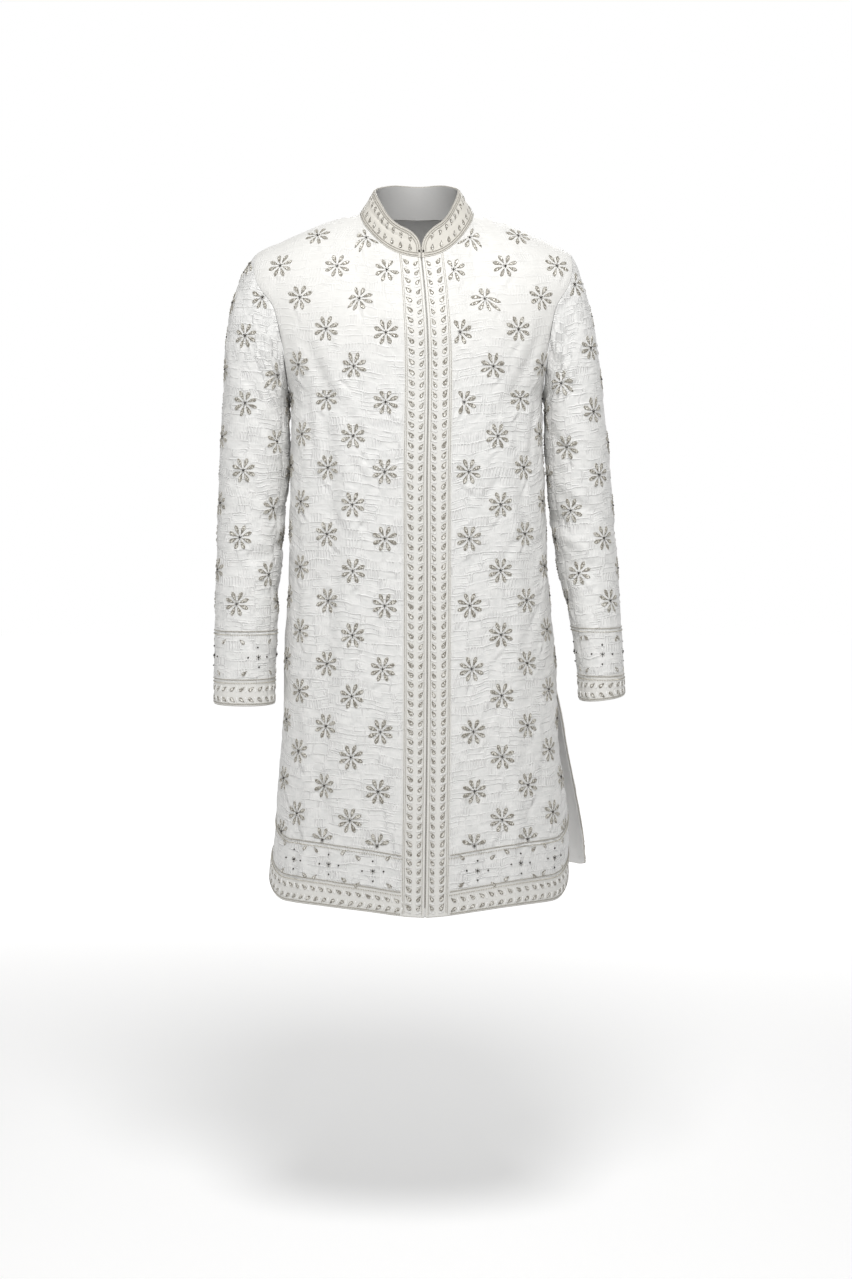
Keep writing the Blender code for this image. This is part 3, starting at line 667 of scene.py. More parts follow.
BORDER_FADE = 0.004  # the smooth borders begin over this distance
BORDER_SMOOTH = 0.85  # share of the relief that they lose
RELIEF_FADE = 0.006  # the relief dies away over this distance from a seam
CHEST_SMOOTH = 0.62  # how far the cloth's lines and puckers are pressed flat on the upper chest
CHEST_Z = (-0.12, -0.31)  # heights between which that ends
SEAM_DIP = 0.0006  # how far an edge rolls in at a seam
SEAM_DIP_WIDTH = 0.003
LATTICE = 97  # rows and columns of a random field before it repeats

# ---- layout of the embroidery
BAND = 0.0316  # width of the bands down the fronts
HEM_BORDER = 0.0335  # width of the leaf borders of the hem and cuffs
FOLD_START = {"front": (BAND, 0.015), "back": (0.0, 0.03)}  # where folds begin, and over what
BAND_LINES = (0.0033, BAND, BAND - 0.0024)  # a band's two bead lines and its cord, from the opening
HEM_LINE = 0.0017 * 1.4  # cord along a hem or cuff, from its edge
BAND_LEAF_ROWS = (0.0077, 0.0232)  # the two rows of leaves in a band, from the opening
BAND_LEANS = {"R": (-34.0, 45.0), "L": (30.0, -28.0)}  # their lean from upright, in degrees
BAND_LEAF_PITCH = (0.0131, 0.0155)  # at the hem and at the collar
LEAF_ROWS = (0.0085, 0.025)  # the two rows of leaves in a hem or cuff border, from the edge
HEM_LEAF_PITCH = 0.014
LEAF_TILT = 38.0  # a leaf's lean from the border's direction, in degrees
DOUBLE_LINE = 0.005  # distance between the two cords of a double line
HEM_BLOCK = (0.0335, 0.092)  # inner and outer double lines of the hem, from its edge
CUFF_BLOCK = (0.0335, 0.11)
HEM_DIP = 0.0045  # how much nearer to the hem its lines run beside the bands
HEM_DIP_REACH = 0.17
BORDER_ROW, BLOCK_ROW = 10, 30  # rows at which places across a hem's border and blocks are read
LEVEL_FROM = 0.0335  # from this height above a cuff, lines run level and not along its edge
BLOCK_PITCH = 0.066
BLOCK_START = 0.0755  # first block flower, from the opening edge
CUFF_MOTIFS = 4
CUFF_FIRST = {"R": 0.315, "L": 0.248}  # first block of a cuff, as a share of the way round
BLOCK_DOTS = (0.0158, 0.0145)  # dots round a block flower, across and up
BLOCK_LEAVES = 0.01  # leaves at a block's corners, from its side
HEM_LEAF_UP = 0.02  # and up and down from its middle
CUFF_LEAF_UP = 0.0232
FLOWER_COLUMNS = (  # of a front: distance from the opening, how much more at the hem, lift
    (0.06, 0.01, -0.0045), (0.107, 0.004, -0.0045), (0.151, 0.003, 0.0015),
    (0.199, 0.005, -0.001), (0.243, 0.0, 0.004),
)
FLOWER_LEAN = (-0.55, -0.85)  # heights between which the columns move out
FLOWER_TOP = {  # how much nearer to the opening they start, to which height, fading over
    "front_R": (0.004, -0.09, 0.06), "front_L": (0.014, -0.19, 0.22),
}
BACK_FLOWER_U = (0.0, 0.046, 0.092, 0.138, 0.184, 0.23)
FLOWER_Z = (  # heights of the flowers in odd and in even columns
    (-0.08, -0.172, -0.272, -0.372, -0.469, -0.566, -0.658, -0.749, -0.836, -0.915),
    (-0.03, -0.123, -0.2205, -0.3207, -0.4197, -0.5155, -0.609, -0.6973, -0.7862, -0.878),
)
SLEEVE_FLOWER_START = 0.1514  # first flower above the cuff
SLEEVE_FLOWER_PITCH = {"R": 0.0995, "L": 0.0945}
SLEEVE_FLOWER_COLUMNS = 8
CAP_CLEAR = 0.004  # its flowers' middles stay this far below the armhole seam
CAP_FLOWERS = {  # more of them at the armhole seam: share of the way round, distance below
    "R": ((0.069, 0.012), (0.19, 0.0045)), "L": (),
}
SLEEVE_FLOWER_FIRST = {"R": 0.0955, "L": 0.0515}  # first column, as a share of the way round
SLEEVE_FLOWER_DROP = {"R": 0.006, "L": 0.004}  # how much lower the third column sits
SLEEVE_HEAD_TURN = (0.032, 0.46, 0.09)  # share that columns turn out, from a height, over a rise
PETALS = 8
PETAL = (0.0034, 0.0196, 0.0064)  # inner end, outer end and width
PETAL_INSET = 0.001  # a petal may cross a border by this much, and a middle comes this near
MIDDLE_REACH = 0.003
POINTED = 0.5  # how far a petal's outer end is drawn to a point
PETAL_BEADS = (0.0108, 0.0146)  # distances of its beads from the middle of the flower
LEAF = (0.0132, 0.007)  # length and width
SMALLER_LEAF = (0.0112, 0.006)
BAR = (0.0106, 0.0026)  # white padded bar between two leaves: length and width
BAR_BELOW = 0.0072  # its distance below the leaf
BAR_TURN = 78.0
FLOWER_RING = 22.5  # turn of a flower's first petal, in degrees
FLOWER_CLEAR = 0.002  # petals stay this far from borders and seams, and from a front's band
BAND_CLEAR = 0.003
EDGE_CLEAR = 0.8  # and this many columns from a side seam; a sleeve's are tested by this product
SEAM_CLEAR = 0.6
CLUSTER_RADIUS = {"flower": 0.0029, "block": 0.0033}
BLOCK_LEAF_TURN = 48.0
BLOCK_CLEAR = 0.006  # corner leaves stay this far from a front's band
BAND_START = 0.0015  # a hem's border begins this far from the band
COLLAR_LOWER_LINES = (0.0024, 0.0058)  # cords along the collar's seam, from the seam
COLLAR_UPPER_LINES = (0.0022, 0.0054)  # and along its free edges, from the edge
COLLAR_CORD = 0.0007
COLLAR_LEAF_START = 0.0155
COLLAR_LEAF_V = (0.013, 0.0125)  # middles of its leaves: above the seam, below the top edge
COLLAR_LEAF_LEAN = 8.0
COLLAR_LEAVES = 33
COLLAR_FOOT = 0.006  # its upright lines start this far above the neck seam
COLLAR_LINE_END = 0.001  # and its lower lines stop this far from the front edges
CORNER_POINTS, FOOT_POINTS = 16, 8
COLLAR_KNOTS = (0.0016, 0.01)  # dark beads at its front ends: from the end and above the seam
BEAD_PITCH = 0.0025
FINE_BEAD_PITCH = 0.002
CORD = (0.0009, 0.001)  # half-width and height of a laid cord
BAND_CORD = (0.0004, 0.0006)
CORD_STEP = 0.0035
CORD_PROFILE = ((-1, -0.2), (-0.65, 0.75), (0, 1), (0.65, 0.75), (1, -0.2))
PIPING = 0.001
COLLAR_PIPING = 0.0013

# Creases pressed into the collar: share of the way round, share of the height, slope, half-width,
# half-height and depth.
COLLAR_CREASES = (
    (0.15, 0.56, -0.06, 0.085, 0.05, -0.0016),  # runs along the right half
    (0.15, 0.68, -0.06, 0.085, 0.06, 0.0007),
    (0.29, 0.55, 0.0, 0.012, 0.35, -0.0012),
    (0.43, 0.5, 0.0, 0.014, 0.35, -0.001),
    (0.64, 0.45, 0.0, 0.014, 0.35, -0.0012),
    (0.87, 0.6, 0.05, 0.05, 0.06, -0.0008),
)

# ---- looks
PATTERN_SHIFT = {"front_R": 0.0, "front_L": 1.7, "back": 3.4, "sleeve_R": 5.1, "sleeve_L": 6.8}
BRICK = (0.026, 0.0135)  # bricks of the cloth's own raised lines, across and up
STRIP = 52.0  # lines break off at strips this wide, in millimetres
BOX_INSET = 3.3  # distance of a box in a brick from the brick's sides, in millimetres
UPRIGHT_GAP = 4.7  # distance between the lines that fill some bricks, in millimetres
BRICK_DRIFT = (0.02, 0.016)  # how far the bricks wander across and up
LEVEL_BELOW, BOX_BELOW, UPRIGHT_ABOVE = 0.2, 0.42, 0.66  # chances that choose a brick's filling
# scale and detail of the noises that vary the surfaces, and how far along the cloth they stretch
SLUB_NOISE, WEAVE_NOISE, CRUMPLE_NOISE = (1500.0, 3.0), (700.0, 2.0), (105.0, 2.5)
WEAR_NOISE, SATIN_NOISE = (42.0, 2.0), (1300.0, 2.0)
SPARKLE_NOISE, STRAND_NOISE = (430.0, 1.0), (900.0, 1.0)
SLUB_STRETCH, CRUMPLE_STRETCH, SATIN_STRETCH, STRAND_STRETCH = 0.18, 0.7, 0.1, (3.0, 0.004)
WEAVE_LAYER, CRUMPLE_LAYER = 2.0, 6.0  # other parts of the noise, so that they don't agree
# where an effect starts and where it is full
WEAR_EDGE, CRUMPLE_SHADE_EDGE, SPARKLE_EDGE = (0.38, 0.58), (0.34, 0.66), (0.42, 0.6)
KNOT_EDGE, OUTLINE_EDGE, RIM_EDGE = (0.00005, 0.00045), (0.48, 0.66), (0.12, 0.24)
LEAST_WORN = 0.15  # a raised line that is worn keeps this share
# heights on the surface, in millimetres
SLUB_HEIGHT, WEAVE_HEIGHT, LINE_HEIGHT, CRUMPLE_HEIGHT = 0.06, 0.05, 0.95, 1.7
SATIN_HEIGHT, RIB_HEIGHT, STRAND_HEIGHT = 0.05, 0.09, 0.15
KNOT_HEIGHT, SPARKLE_HEIGHT, TWIST_HEIGHT = 0.35, 0.45, 0.25
LINE_SHADE_SHARE, LINE_SHARE, SPARKLE_SHARE = 0.46, 0.9, 0.75  # of one colour over another: the painted shade under a line, the line, the painted glints
LINE_ROUGHNESS = (-0.1, 0.54)  # what a raised line adds to the cloth's own
SIDE_THINNER = 0.15  # a brick's upright lines are this much thinner, in millimetres
FAR_AWAY = 9.0
LINE_EDGE = (0.2, 1.35)  # a line is gone this far from its middle, in millimetres
LINE_SHADE_EDGES = (3.6, 1.3, 1.2, 0.6)  # start and end of the shade under a brick's top, in millimetres
KNOT = 0.0011  # repeats of an outline's knots, a cord's twist and the strip's ribs
TWIST = 0.0024
RIB = 0.0032
# ground of the open cloth, darker where the crumpled relief is low: painted shade in its hollows
CRUMPLE_SHADED_GROUND = ((0.7, 0.7, 0.686), (0.77, 0.765, 0.75))
# painted shade: grey of the strip drawn just below each raised line
PAINTED_LINE_SHADE = (0.48, 0.48, 0.465)
LINE_COLOUR = (0.88, 0.875, 0.86)
BAND_CLOTH = ((0.7, 0.69, 0.66), (0.74, 0.73, 0.7))
# the collar's cream, darkened further: partly its own colour, partly painted shade
COLLAR_COLOURS_WITH_SHADE = ((0.619, 0.597, 0.544), (0.655, 0.631, 0.577))
# outline thread, dark and lighter, then the painted glint laid on it
OUTLINE_THREAD_AND_GLINT = ((0.17, 0.15, 0.115), (0.38, 0.35, 0.29), (0.7, 0.67, 0.6))
# the filling's silver as speckles: painted shade between the beads and painted glints on them
FILL_THREAD_SHADE_AND_GLINT = ((0.27, 0.25, 0.215), (0.84, 0.82, 0.765))
CORD_THREAD = ((0.25, 0.23, 0.195), (0.56, 0.535, 0.48))
PIPING_THREAD = ((0.34, 0.32, 0.28), (0.62, 0.6, 0.55))
WHITE_THREAD = ((0.8, 0.79, 0.765), (0.87, 0.865, 0.845))
SILVER_BEAD = ((0.34, 0.315, 0.255), (0.66, 0.63, 0.555), 0.5, 0.32)
DARK_METAL = ((0.05, 0.045, 0.04), (0.11, 0.1, 0.09), 0.7, 0.35)
LINING_COLOURS = ((0.66, 0.655, 0.645), (0.72, 0.715, 0.7))
UNDERLAP_COLOURS = ((0.6, 0.605, 0.59), (0.68, 0.68, 0.665))

CAMERA_PLACE = (0.0119, -3.2, -0.3738)
CAMERA_PITCH = 4.57  # degrees below level
CAMERA_LENS, CAMERA_SENSOR = 59.81, 36.0  # in millimetres
CAMERA_REACH = 100.0
FLOOR_Z = -1.56
FLOOR_HALF = 12.0
FLOOR_COLOURS = ((0.92, 0.92, 0.92), (0.94, 0.94, 0.94))
FLOOR_GLOW = 0.76  # lifts the far floor to the backdrop's white
NEAR_GLOW = 0.2  # and the floor under the coat nearer to it
FLOOR_FADE = (1.9, 4.2)  # distances from the neck over which it does
AMBIENT = 0.265
WHITE_LIGHT = (1.0, 1.0, 1.0, 1.0)
ROOM_LIGHT = (1.0, 0.995, 0.985, 1.0)
LIGHTS = (  # place, aim, size, watts
    ("key", (0.12, -1.7, 1.75), (0.0, 0.0, -0.25), 1.0, 62.0),
    ("side", (-2.4, -1.4, -1.1), (0.0, 0.0, -0.6), 1.4, 6.0),
    ("back", (0.4, 2.8, 1.6), (0.0, 0.0, -0.5), 2.0, 50.0),
)

# ---- what each piece was cut to
SLOTS = {
    "collar": "collar_cloth", "front_underlap": "underlap_cloth", "back_lining": "lining_cloth",
}
CUT = {  # flat width and length, flat area, and what the piece hangs from
    "front_right": ((0.3, 1.04), 0.27, ["collar", "back"]),
    "front_left": ((0.3, 1.04), 0.27, ["collar", "back"]),
    "back": ((0.58, 1.05), 0.56, ["collar"]),
    "sleeve_upper_R": ((0.27, 0.66), 0.15, ["front_right", "back"]),
    "sleeve_upper_L": ((0.27, 0.66), 0.15, ["front_left", "back"]),
    "sleeve_under_R": ((0.14, 0.46), 0.05, ["sleeve_upper_R"]),
    "sleeve_under_L": ((0.14, 0.46), 0.05, ["sleeve_upper_L"]),
    "collar": ((0.45, 0.05), 0.02, []),
    "front_underlap": ((0.04, 0.95), None, ["front_left"]),
    "back_lining": ((0.56, 0.42), 0.22, ["back"]),
}


def distance_along(grid, axis):
    """Distance along the rows (axis 1) or columns (axis 0) of a grid, from its first point."""
    steps = np.linalg.norm(np.diff(grid, axis=axis), axis=-1)
    shape = list(grid.shape[:2])
    shape[axis] = 1
    return np.concatenate([np.zeros(shape), np.cumsum(steps, axis=axis)], axis=axis)


def random_field(u, v, size, seed):
    """A smooth random field from -1 to 1 over a plane, with features of the given size."""
    lattice = np.random.RandomState(seed).uniform(-1, 1, (LATTICE, LATTICE))
    x, y = u / size + 200.0, v / size + 200.0
    column, row = np.floor(x).astype(int), np.floor(y).astype(int)
    across, up = ease(x - column), ease(y - row)
    a, b, c, d = (lattice[(row + above) % LATTICE, (column + after) % LATTICE]
                  for above in (0, 1) for after in (0, 1))
    return (a * (1 - across) + b * across) * (1 - up) + (c * (1 - across) + d * across) * up


def fold_height(across, up, rows, centre_across, centre_up):
    """How far the listed folds stand out: positions on the cloth against each fold's own place."""
    height = np.zeros_like(up)
    for index in range(len(rows["deep"])):
        turn = math.radians(rows["turn"][index])
        x = across(centre_across[index])
        y = up - centre_up[index]
        along = x * math.cos(turn) + y * math.sin(turn)
        beside = -x * math.sin(turn) + y * math.cos(turn)
        wide, deep = rows["wide"][index], rows["deep"][index]
        profile = np.exp(-(beside / wide) ** 2)
        if deep < 0:
            profile -= FOLD_RIDGE * np.exp(-(beside / wide - FOLD_RIDGE_AT) ** 2)
        height += deep * profile * np.exp(-(along / rows["long"][index]) ** 2)
    return height


class Cloth:
    """A grid of points on the coat's outer face, with its normals and its distances u and v."""

    def __init__(self, name, grid, normals, u, wrap=False):
        self.name = name
        self.grid = grid
        self.normals = normals
        self.wrap = wrap
        self.u = u
        self.v = distance_along(grid, 0)
        self.smooth = np.zeros(u.shape)
        self.rise = np.zeros(u.shape[1])  # how far the lower edge of each column is off level

    def sample(self, field, row, column):
        """Read any field of the grid between its points."""
        rows, columns = field.shape[:2]
        row = np.clip(row, 0, rows - 1.0001)
        if self.wrap:
            column = np.mod(column, columns)
        else:
            column = np.clip(column, 0, columns - 1.0001)
        r, c = np.floor(row).astype(int), np.floor(column).astype(int)
        after = (c + 1) % columns
        up, across = row - r, column - c
        if field.ndim == 3:
            up, across = up[..., None], across[..., None]
        low = field[r, c] * (1 - across) + field[r, after] * across
        high = field[r + 1, c] * (1 - across) + field[r + 1, after] * across
        return low * (1 - up) + high * up

    def place(self, row, column):
        """Points of the cloth and its normals there."""
        return self.sample(self.grid, row, column), unit(self.sample(self.normals, row, column))

    def spot(self, u, z):
        """Row and column at a distance across and a height."""
        rows, columns = self.u.shape
        row = rows / 2
        for _ in range(8):
            column = np.interp(u, self.u[int(row)], np.arange(columns))
            heights = self.grid[:, int(round(column)), 2]
            row = np.interp(z, heights, np.arange(rows))
        return row, column

    def along_u(self, u, start, end):
        """Rows and columns at one distance across, between two rows."""
        row = np.linspace(start, end, UP_POINTS)
        column = [np.interp(u, self.u[int(round(r))], np.arange(self.u.shape[1])) for r in row]
        return row, np.array(column)

    def along_v(self, v, start, end):
        """Rows and columns at one distance up from the hem, between two columns."""
        column = np.linspace(start, end, HEM_POINTS)
        return np.array([self.row_at(v, c) for c in column]), column

    def row_at(self, v, column):
        """Row at a distance up from the lower edge, levelled away from the edge."""
        index = int(round(column)) % self.v.shape[1]
        level = v - self.rise[index] * min(v / LEVEL_FROM, 1.0)
        return np.interp(level, self.v[:, index], np.arange(self.v.shape[0]))

    def even(self, row, column, pitch):
        """Places along a line of rows and columns, at one pitch or one that grows along it."""
        length = length_along(self.sample(self.grid, row, column))
        first, last = np.broadcast_to(pitch, 2)
        count = max(int(round(length[-1] / (first + last) * 2)), 1)
        share = (np.arange(count) + 0.5) / count
        places = share * (2 * first + (last - first) * share) / (first + last) * length[-1]
        return np.interp(places, length, row), np.interp(places, length, column)

    def local_frame(self, row, column):
        """Inverse of the step from rows and columns to distances to the right and up."""
        rows, columns = self.u.shape
        row = np.clip(row, 1, rows - 2)
        column = column if self.wrap else np.clip(column, 1, columns - 2)
        grid, half = self.grid, 0.5
        by_row = self.sample(grid, row + half, column) - self.sample(grid, row - half, column)
        by_column = self.sample(grid, row, column + half) - self.sample(grid, row, column - half)
        normal = unit(self.sample(self.normals, row, column))
        up = unit(np.array([0.0, 0.0, 1.0]) - normal * normal[..., 2:])
        right = np.cross(up, normal)
        step_matrix = np.stack([
            stack((right * by_column).sum(-1), (right * by_row).sum(-1)),
            stack((up * by_column).sum(-1), (up * by_row).sum(-1)),
        ], axis=-2)
        return np.linalg.inv(step_matrix)

    def offsets(self, row, column, turn, points):
        """Rows and columns of points given by their distances from places on the cloth."""
        inverse = self.local_frame(row, column)
        cos, sin = np.cos(turn), np.sin(turn)
        x = points[:, 0] * cos - points[:, 1] * sin
        y = points[:, 0] * sin + points[:, 1] * cos
        at_column = column[:, None] + inverse[:, 0, 0, None] * x + inverse[:, 0, 1, None] * y
        at_row = row[:, None] + inverse[:, 1, 0, None] * x + inverse[:, 1, 1, None] * y
        return at_row, at_column

    def clear(self, places, turn, ends, low_v, low_u=None):
        """Which of many petals stay on the open cloth, clear of borders and seams."""
        row, column = places.T
        at_row, at_column = self.offsets(row, column, turn, ends)
        rows, columns = self.u.shape
        v = self.sample(self.v, at_row, at_column)
        top = np.interp(np.mod(at_column, columns) if self.wrap else at_column,
                        np.arange(columns), self.v[-1])
        fine = (v > low_v) & (v < top - FLOWER_CLEAR) & (at_row < rows - 1)
        if self.wrap:
            for seam in SLEEVE_SEAMS:
                fine &= (at_column - seam) * (column[:, None] - seam) > SEAM_CLEAR
        else:
            fine &= at_column < columns - 1 - EDGE_CLEAR
        if self.name == "back":
            fine &= at_column > EDGE_CLEAR
        if low_u is not None:
            fine &= self.sample(self.u, at_row, at_column) > low_u
        return fine.all(axis=1)

    def lay(self, row, column, turn, shape):
        """Points of a flat shape laid on the cloth at many places, each on its own."""
        row, column = (np.atleast_1d(np.asarray(x, dtype=float)) for x in (row, column))
        at_row, at_column = self.offsets(row, column, turn, shape)
        points, normals = self.place(at_row, at_column)
        return points + normals * shape[None, :, 2, None]


def seam_distances(cloth):
    """Distances of every point of a cloth from each of its seams."""
    away = [cloth.v[-1:] - cloth.v]
    if cloth.wrap:
        away += [np.abs(cloth.u - cloth.u[:, seam:seam + 1]) for seam in SLEEVE_SEAMS]
    else:
        away.append(cloth.u[:, -1:] - cloth.u)
        if cloth.name == "back":
            away.append(cloth.u - cloth.u[:, :1])
    return away


def torso_cloth(side, face):
    """A front or half of the back with its folds pressed in."""
    name = face + "_" + side
    grid = half_panel(side, face)
    cloth = Cloth(name, grid, grid_normals(grid), distance_along(grid, 1))
    rows = FOLDS[name]
    height = fold_height(lambda at: cloth.u - at, grid[..., 2], rows, rows["u"], rows["z"])
    for away in seam_distances(cloth):
        height *= ease(away / EDGE_FADE)
    start, fade = FOLD_START[face]
    height *= ease((cloth.u - start) / fade)
    grid = grid + cloth.normals * height[..., None]
    normals = grid_normals(grid)
    set_seam_normals(grid, normals, side, last=True)
    cloth = Cloth(name, grid, normals, distance_along(grid, 1))
    if face == "front":
        cloth.rise = HEM_DIP * np.clip(1 - (cloth.u[BORDER_ROW] - BAND) / HEM_DIP_REACH, 0, 1)
    return cloth


def join_halves(right, left):
    """The whole back from its two halves, columns from the right edge to the left edge."""
    grid = np.concatenate([right.grid[:, ::-1], left.grid[:, 1:]], axis=1)
    u = distance_along(grid, 1)
    middle = right.grid.shape[1] - 1
    normals = grid_normals(grid)
    set_seam_normals(grid, normals, "R", last=False)
    set_seam_normals(grid, normals, "L", last=True)
    return Cloth("back", grid, normals, u - u[:, middle:middle + 1])


def flower_places(cloth):
    """Rows and columns of the flowers on a front or on the back."""
    places = []
    if cloth.name == "back":
        columns = [(abs(k) % 2, math.copysign(BACK_FLOWER_U[abs(k)], k), 0.0, 0.0)
                   for k in range(-5, 6)]
    else:
        columns = [(k % 2, *column) for k, column in enumerate(FLOWER_COLUMNS)]
    nearer, until, fade = FLOWER_TOP.get(cloth.name, (0.0, 0.0, 1.0))
    for parity, u, lean, lift in columns:
        for z in FLOWER_Z[parity]:
            lower = np.interp(-z, [-FLOWER_LEAN[0], -FLOWER_LEAN[1]], [0.0, 1.0])
            inward = nearer * (1 - ease((until - z) / fade))
            row, column = cloth.spot(u + lean * lower - inward, z + lift)
            inside = 0.5 < row < cloth.u.shape[0] - 1.5 and 0.5 < column < cloth.u.shape[1] - 1.5
            if inside:
                places.append((row, column))
    return np.array(places)


def smooth_parts(cloth):
    """How smooth the cloth lies: fully in the borders and bands, partly on the upper chest."""
    smooth = 1 - ease((cloth.v - HEM_BORDER) / BORDER_FADE)
    if cloth.name.startswith("front"):
        smooth = np.maximum(smooth, 1 - ease((cloth.u - BAND) / BORDER_FADE))
    if not cloth.wrap:
        high, low = CHEST_Z
        pressed = 1 - ease((high - cloth.grid[..., 2]) / (high - low))
        smooth = np.maximum(smooth, CHEST_SMOOTH * pressed)
    return smooth


def relief(cloth, places):
    """Height of the outer face's puckers, and of the halos and drags round the flowers."""
    u, v = cloth.u, cloth.v
    seed = sum(map(ord, cloth.name))
    height = PUCKER * sum(share * random_field(u * stretch, v, PUCKER_SIZE * size, seed + number)
                          for number, (share, stretch, size) in enumerate(PUCKER_PARTS))
    chance = np.random.RandomState(seed)
    flower_v = cloth.sample(v, *places.T)
    flower_u = cloth.sample(u, *places.T)
    for at_u, at_v in zip(flower_u, flower_v):
        reach = np.hypot(u - at_u, v - at_v)
        near = reach < HALO_REACH + 6 * HALO_WIDTH
        ring = np.exp(-((reach[near] - HALO_REACH) / HALO_WIDTH) ** 2)
        angle = np.arctan2(v[near] - at_v, u[near] - at_u)
        height[near] *= 1 - UNDER_FLOWER * np.exp(-(reach[near] / HALO_REACH) ** 4)
        height[near] += HALO * ring * (HALO_MEAN + HALO_SWING * np.sin(3 * angle + at_v * 50))
        across = chance.uniform(-DRAG_ACROSS, DRAG_ACROSS)
        below = chance.uniform(*DRAG_BELOW)
        turn = math.radians(chance.uniform(*DRAG_TURN)
                            * (1 if chance.uniform() < 1 - MIRRORED else -1))
        if cloth.name == "back" and at_u < 0:
            turn = -turn
        x, y = u[near] - at_u - across, v[near] - at_v + below
        along = x * math.cos(turn) + y * math.sin(turn)
        beside = (y * math.cos(turn) - x * math.sin(turn)) / DRAG_WIDE
        crease = np.exp(-beside ** 2) - DRAG_RIDGE[0] * np.exp(-(beside - DRAG_RIDGE[1]) ** 2)
        deep = DRAG * chance.uniform(*DRAG_SHARES)
        height[near] -= deep * crease * np.exp(-(along / DRAG_LONG) ** 2)
    return height


def raise_face(cloth, places):
    """Give a cloth its relief, rolled in a little along its seams."""
    cloth.smooth = smooth_parts(cloth)
    height = relief(cloth, places) * (1 - BORDER_SMOOTH * cloth.smooth)
    fade = np.ones_like(height)
    dip = np.zeros_like(height)
    for away in seam_distances(cloth):
        fade *= ease(away / RELIEF_FADE)
        dip = np.maximum(dip, np.exp(-(away / SEAM_DIP_WIDTH) ** 2))
    cloth.inner_grid = cloth.grid.copy()
    cloth.inner_normals = cloth.normals.copy()
    cloth.grid = cloth.grid + cloth.normals * (height * fade - SEAM_DIP * dip)[..., None]


# ---- meshes
def add_object(name, data):
    item = bpy.data.objects.new(name, data)
    bpy.context.collection.objects.link(item)
    return item


def mesh_object(name, points, groups, materials, uv=None, smooth=None, sharp=50.0):
    """Make an object from points and groups of faces; each group has its own material number."""
    points = np.ascontiguousarray(points, dtype=np.float32).reshape(-1, 3)
    corners = np.concatenate([np.ravel(faces) for faces, _ in groups]).astype(np.int32)
    sizes = np.concatenate([np.full(len(faces), np.shape(faces)[1]) for faces, _ in groups])
    starts = np.concatenate([[0], np.cumsum(sizes)[:-1]]).astype(np.int32)
    slots = np.concatenate([np.broadcast_to(slot, len(faces)) for faces, slot in groups])
    mesh = bpy.data.meshes.new(name)
    mesh.vertices.add(len(points))
    mesh.vertices.foreach_set("co", points.ravel())
    mesh.loops.add(len(corners))
    mesh.loops.foreach_set("vertex_index", corners)
    mesh.polygons.add(len(sizes))
    mesh.polygons.foreach_set("loop_start", starts)
    mesh.polygons.foreach_set("material_index", slots.astype(np.int32))
    for material in materials:
        mesh.materials.append(material)
    if uv is not None:
        layer = mesh.uv_layers.new(name="cloth")
        layer.data.foreach_set("uv", np.asarray(uv, dtype=np.float32)[corners].ravel())
    if smooth is not None:
        layer = mesh.attributes.new("smooth", "FLOAT", "POINT")
        layer.data.foreach_set("value", np.asarray(smooth, dtype=np.float32))
    mesh.update(calc_edges=True)
    mesh.validate()
    mesh.shade_smooth()
    if sharp:
        mesh.set_sharp_from_angle(angle=math.radians(sharp))
    item = add_object(name, mesh)
    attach(item, "root")
    return item


def rim(index):
    """The numbers round the edge of a grid in order, back to the first."""
    return np.concatenate([index[0], index[1:, -1], index[-1, -2::-1], index[-2::-1, 0]])


def quads_of(index):
    return stack(index[:-1, :-1], index[:-1, 1:], index[1:, 1:], index[1:, :-1]).reshape(-1, 4)


def wall(name, outer, inner, materials, uv, smooth=None):
    """One closed wall: a fine outer face, a coarser inner face and the edge between them."""
    step = INSIDE_STEP
    inner = inner[::step, ::step]
    rows, columns = outer.shape[:2]
    index = np.arange(rows * columns).reshape(rows, columns)
    inner_rows, inner_columns = inner.shape[:2]
    inner_index = np.arange(inner_rows * inner_columns).reshape(inner_rows, inner_columns)
    inner_index += rows * columns
    outside = rim(index)
    inside = rim(inner_index)
    edge = np.array([np.concatenate([outside[k * step:k * step + step + 1][::-1], inside[k:k + 2]])
                     for k in range(len(inside) - 1)])
    faces = quads_of(index)
    inner_faces = quads_of(inner_index)[:, ::-1]
    middle = (rows // 2, columns // 2)
    across = outer[middle[0], middle[1] + 1] - outer[middle]
    up = outer[middle[0] + 1, middle[1]] - outer[middle]
    thickness = outer[middle] - inner[middle[0] // step, middle[1] // step]
    if np.dot(np.cross(across, up), thickness) < 0:
        faces, inner_faces, edge = faces[:, ::-1], inner_faces[:, ::-1], edge[:, ::-1]
    points = np.concatenate([outer.reshape(-1, 3), inner.reshape(-1, 3)])
    inner_uv = uv[::step, ::step]
    all_uv = np.concatenate([uv.reshape(-1, 2), inner_uv.reshape(-1, 2)])
    if smooth is None:
        smooth = np.ones(uv.shape[:2])
    all_smooth = np.concatenate([smooth.ravel(), np.ones(inner_uv.shape[:2]).ravel()])
    return mesh_object(name, points, [(faces, 0), (inner_faces, 1), (edge, 0)], materials,
                       all_uv, all_smooth)


def cloth_wall(name, cloth, materials):
    """The wall of one panel, its inner face moved in from the folded but unpuckered cloth."""
    inner = cloth.inner_grid - cloth.inner_normals * CLOTH
    uv = stack(cloth.u + PATTERN_SHIFT[cloth.name], cloth.v)
    return wall(name, cloth.grid, inner, materials, uv, cloth.smooth)


# ---- sleeves
def turned(degrees, start):
    """The turn from one angle to others, from -180 to 180 degrees."""
    return (degrees - start + 180.0) % 360.0 - 180.0


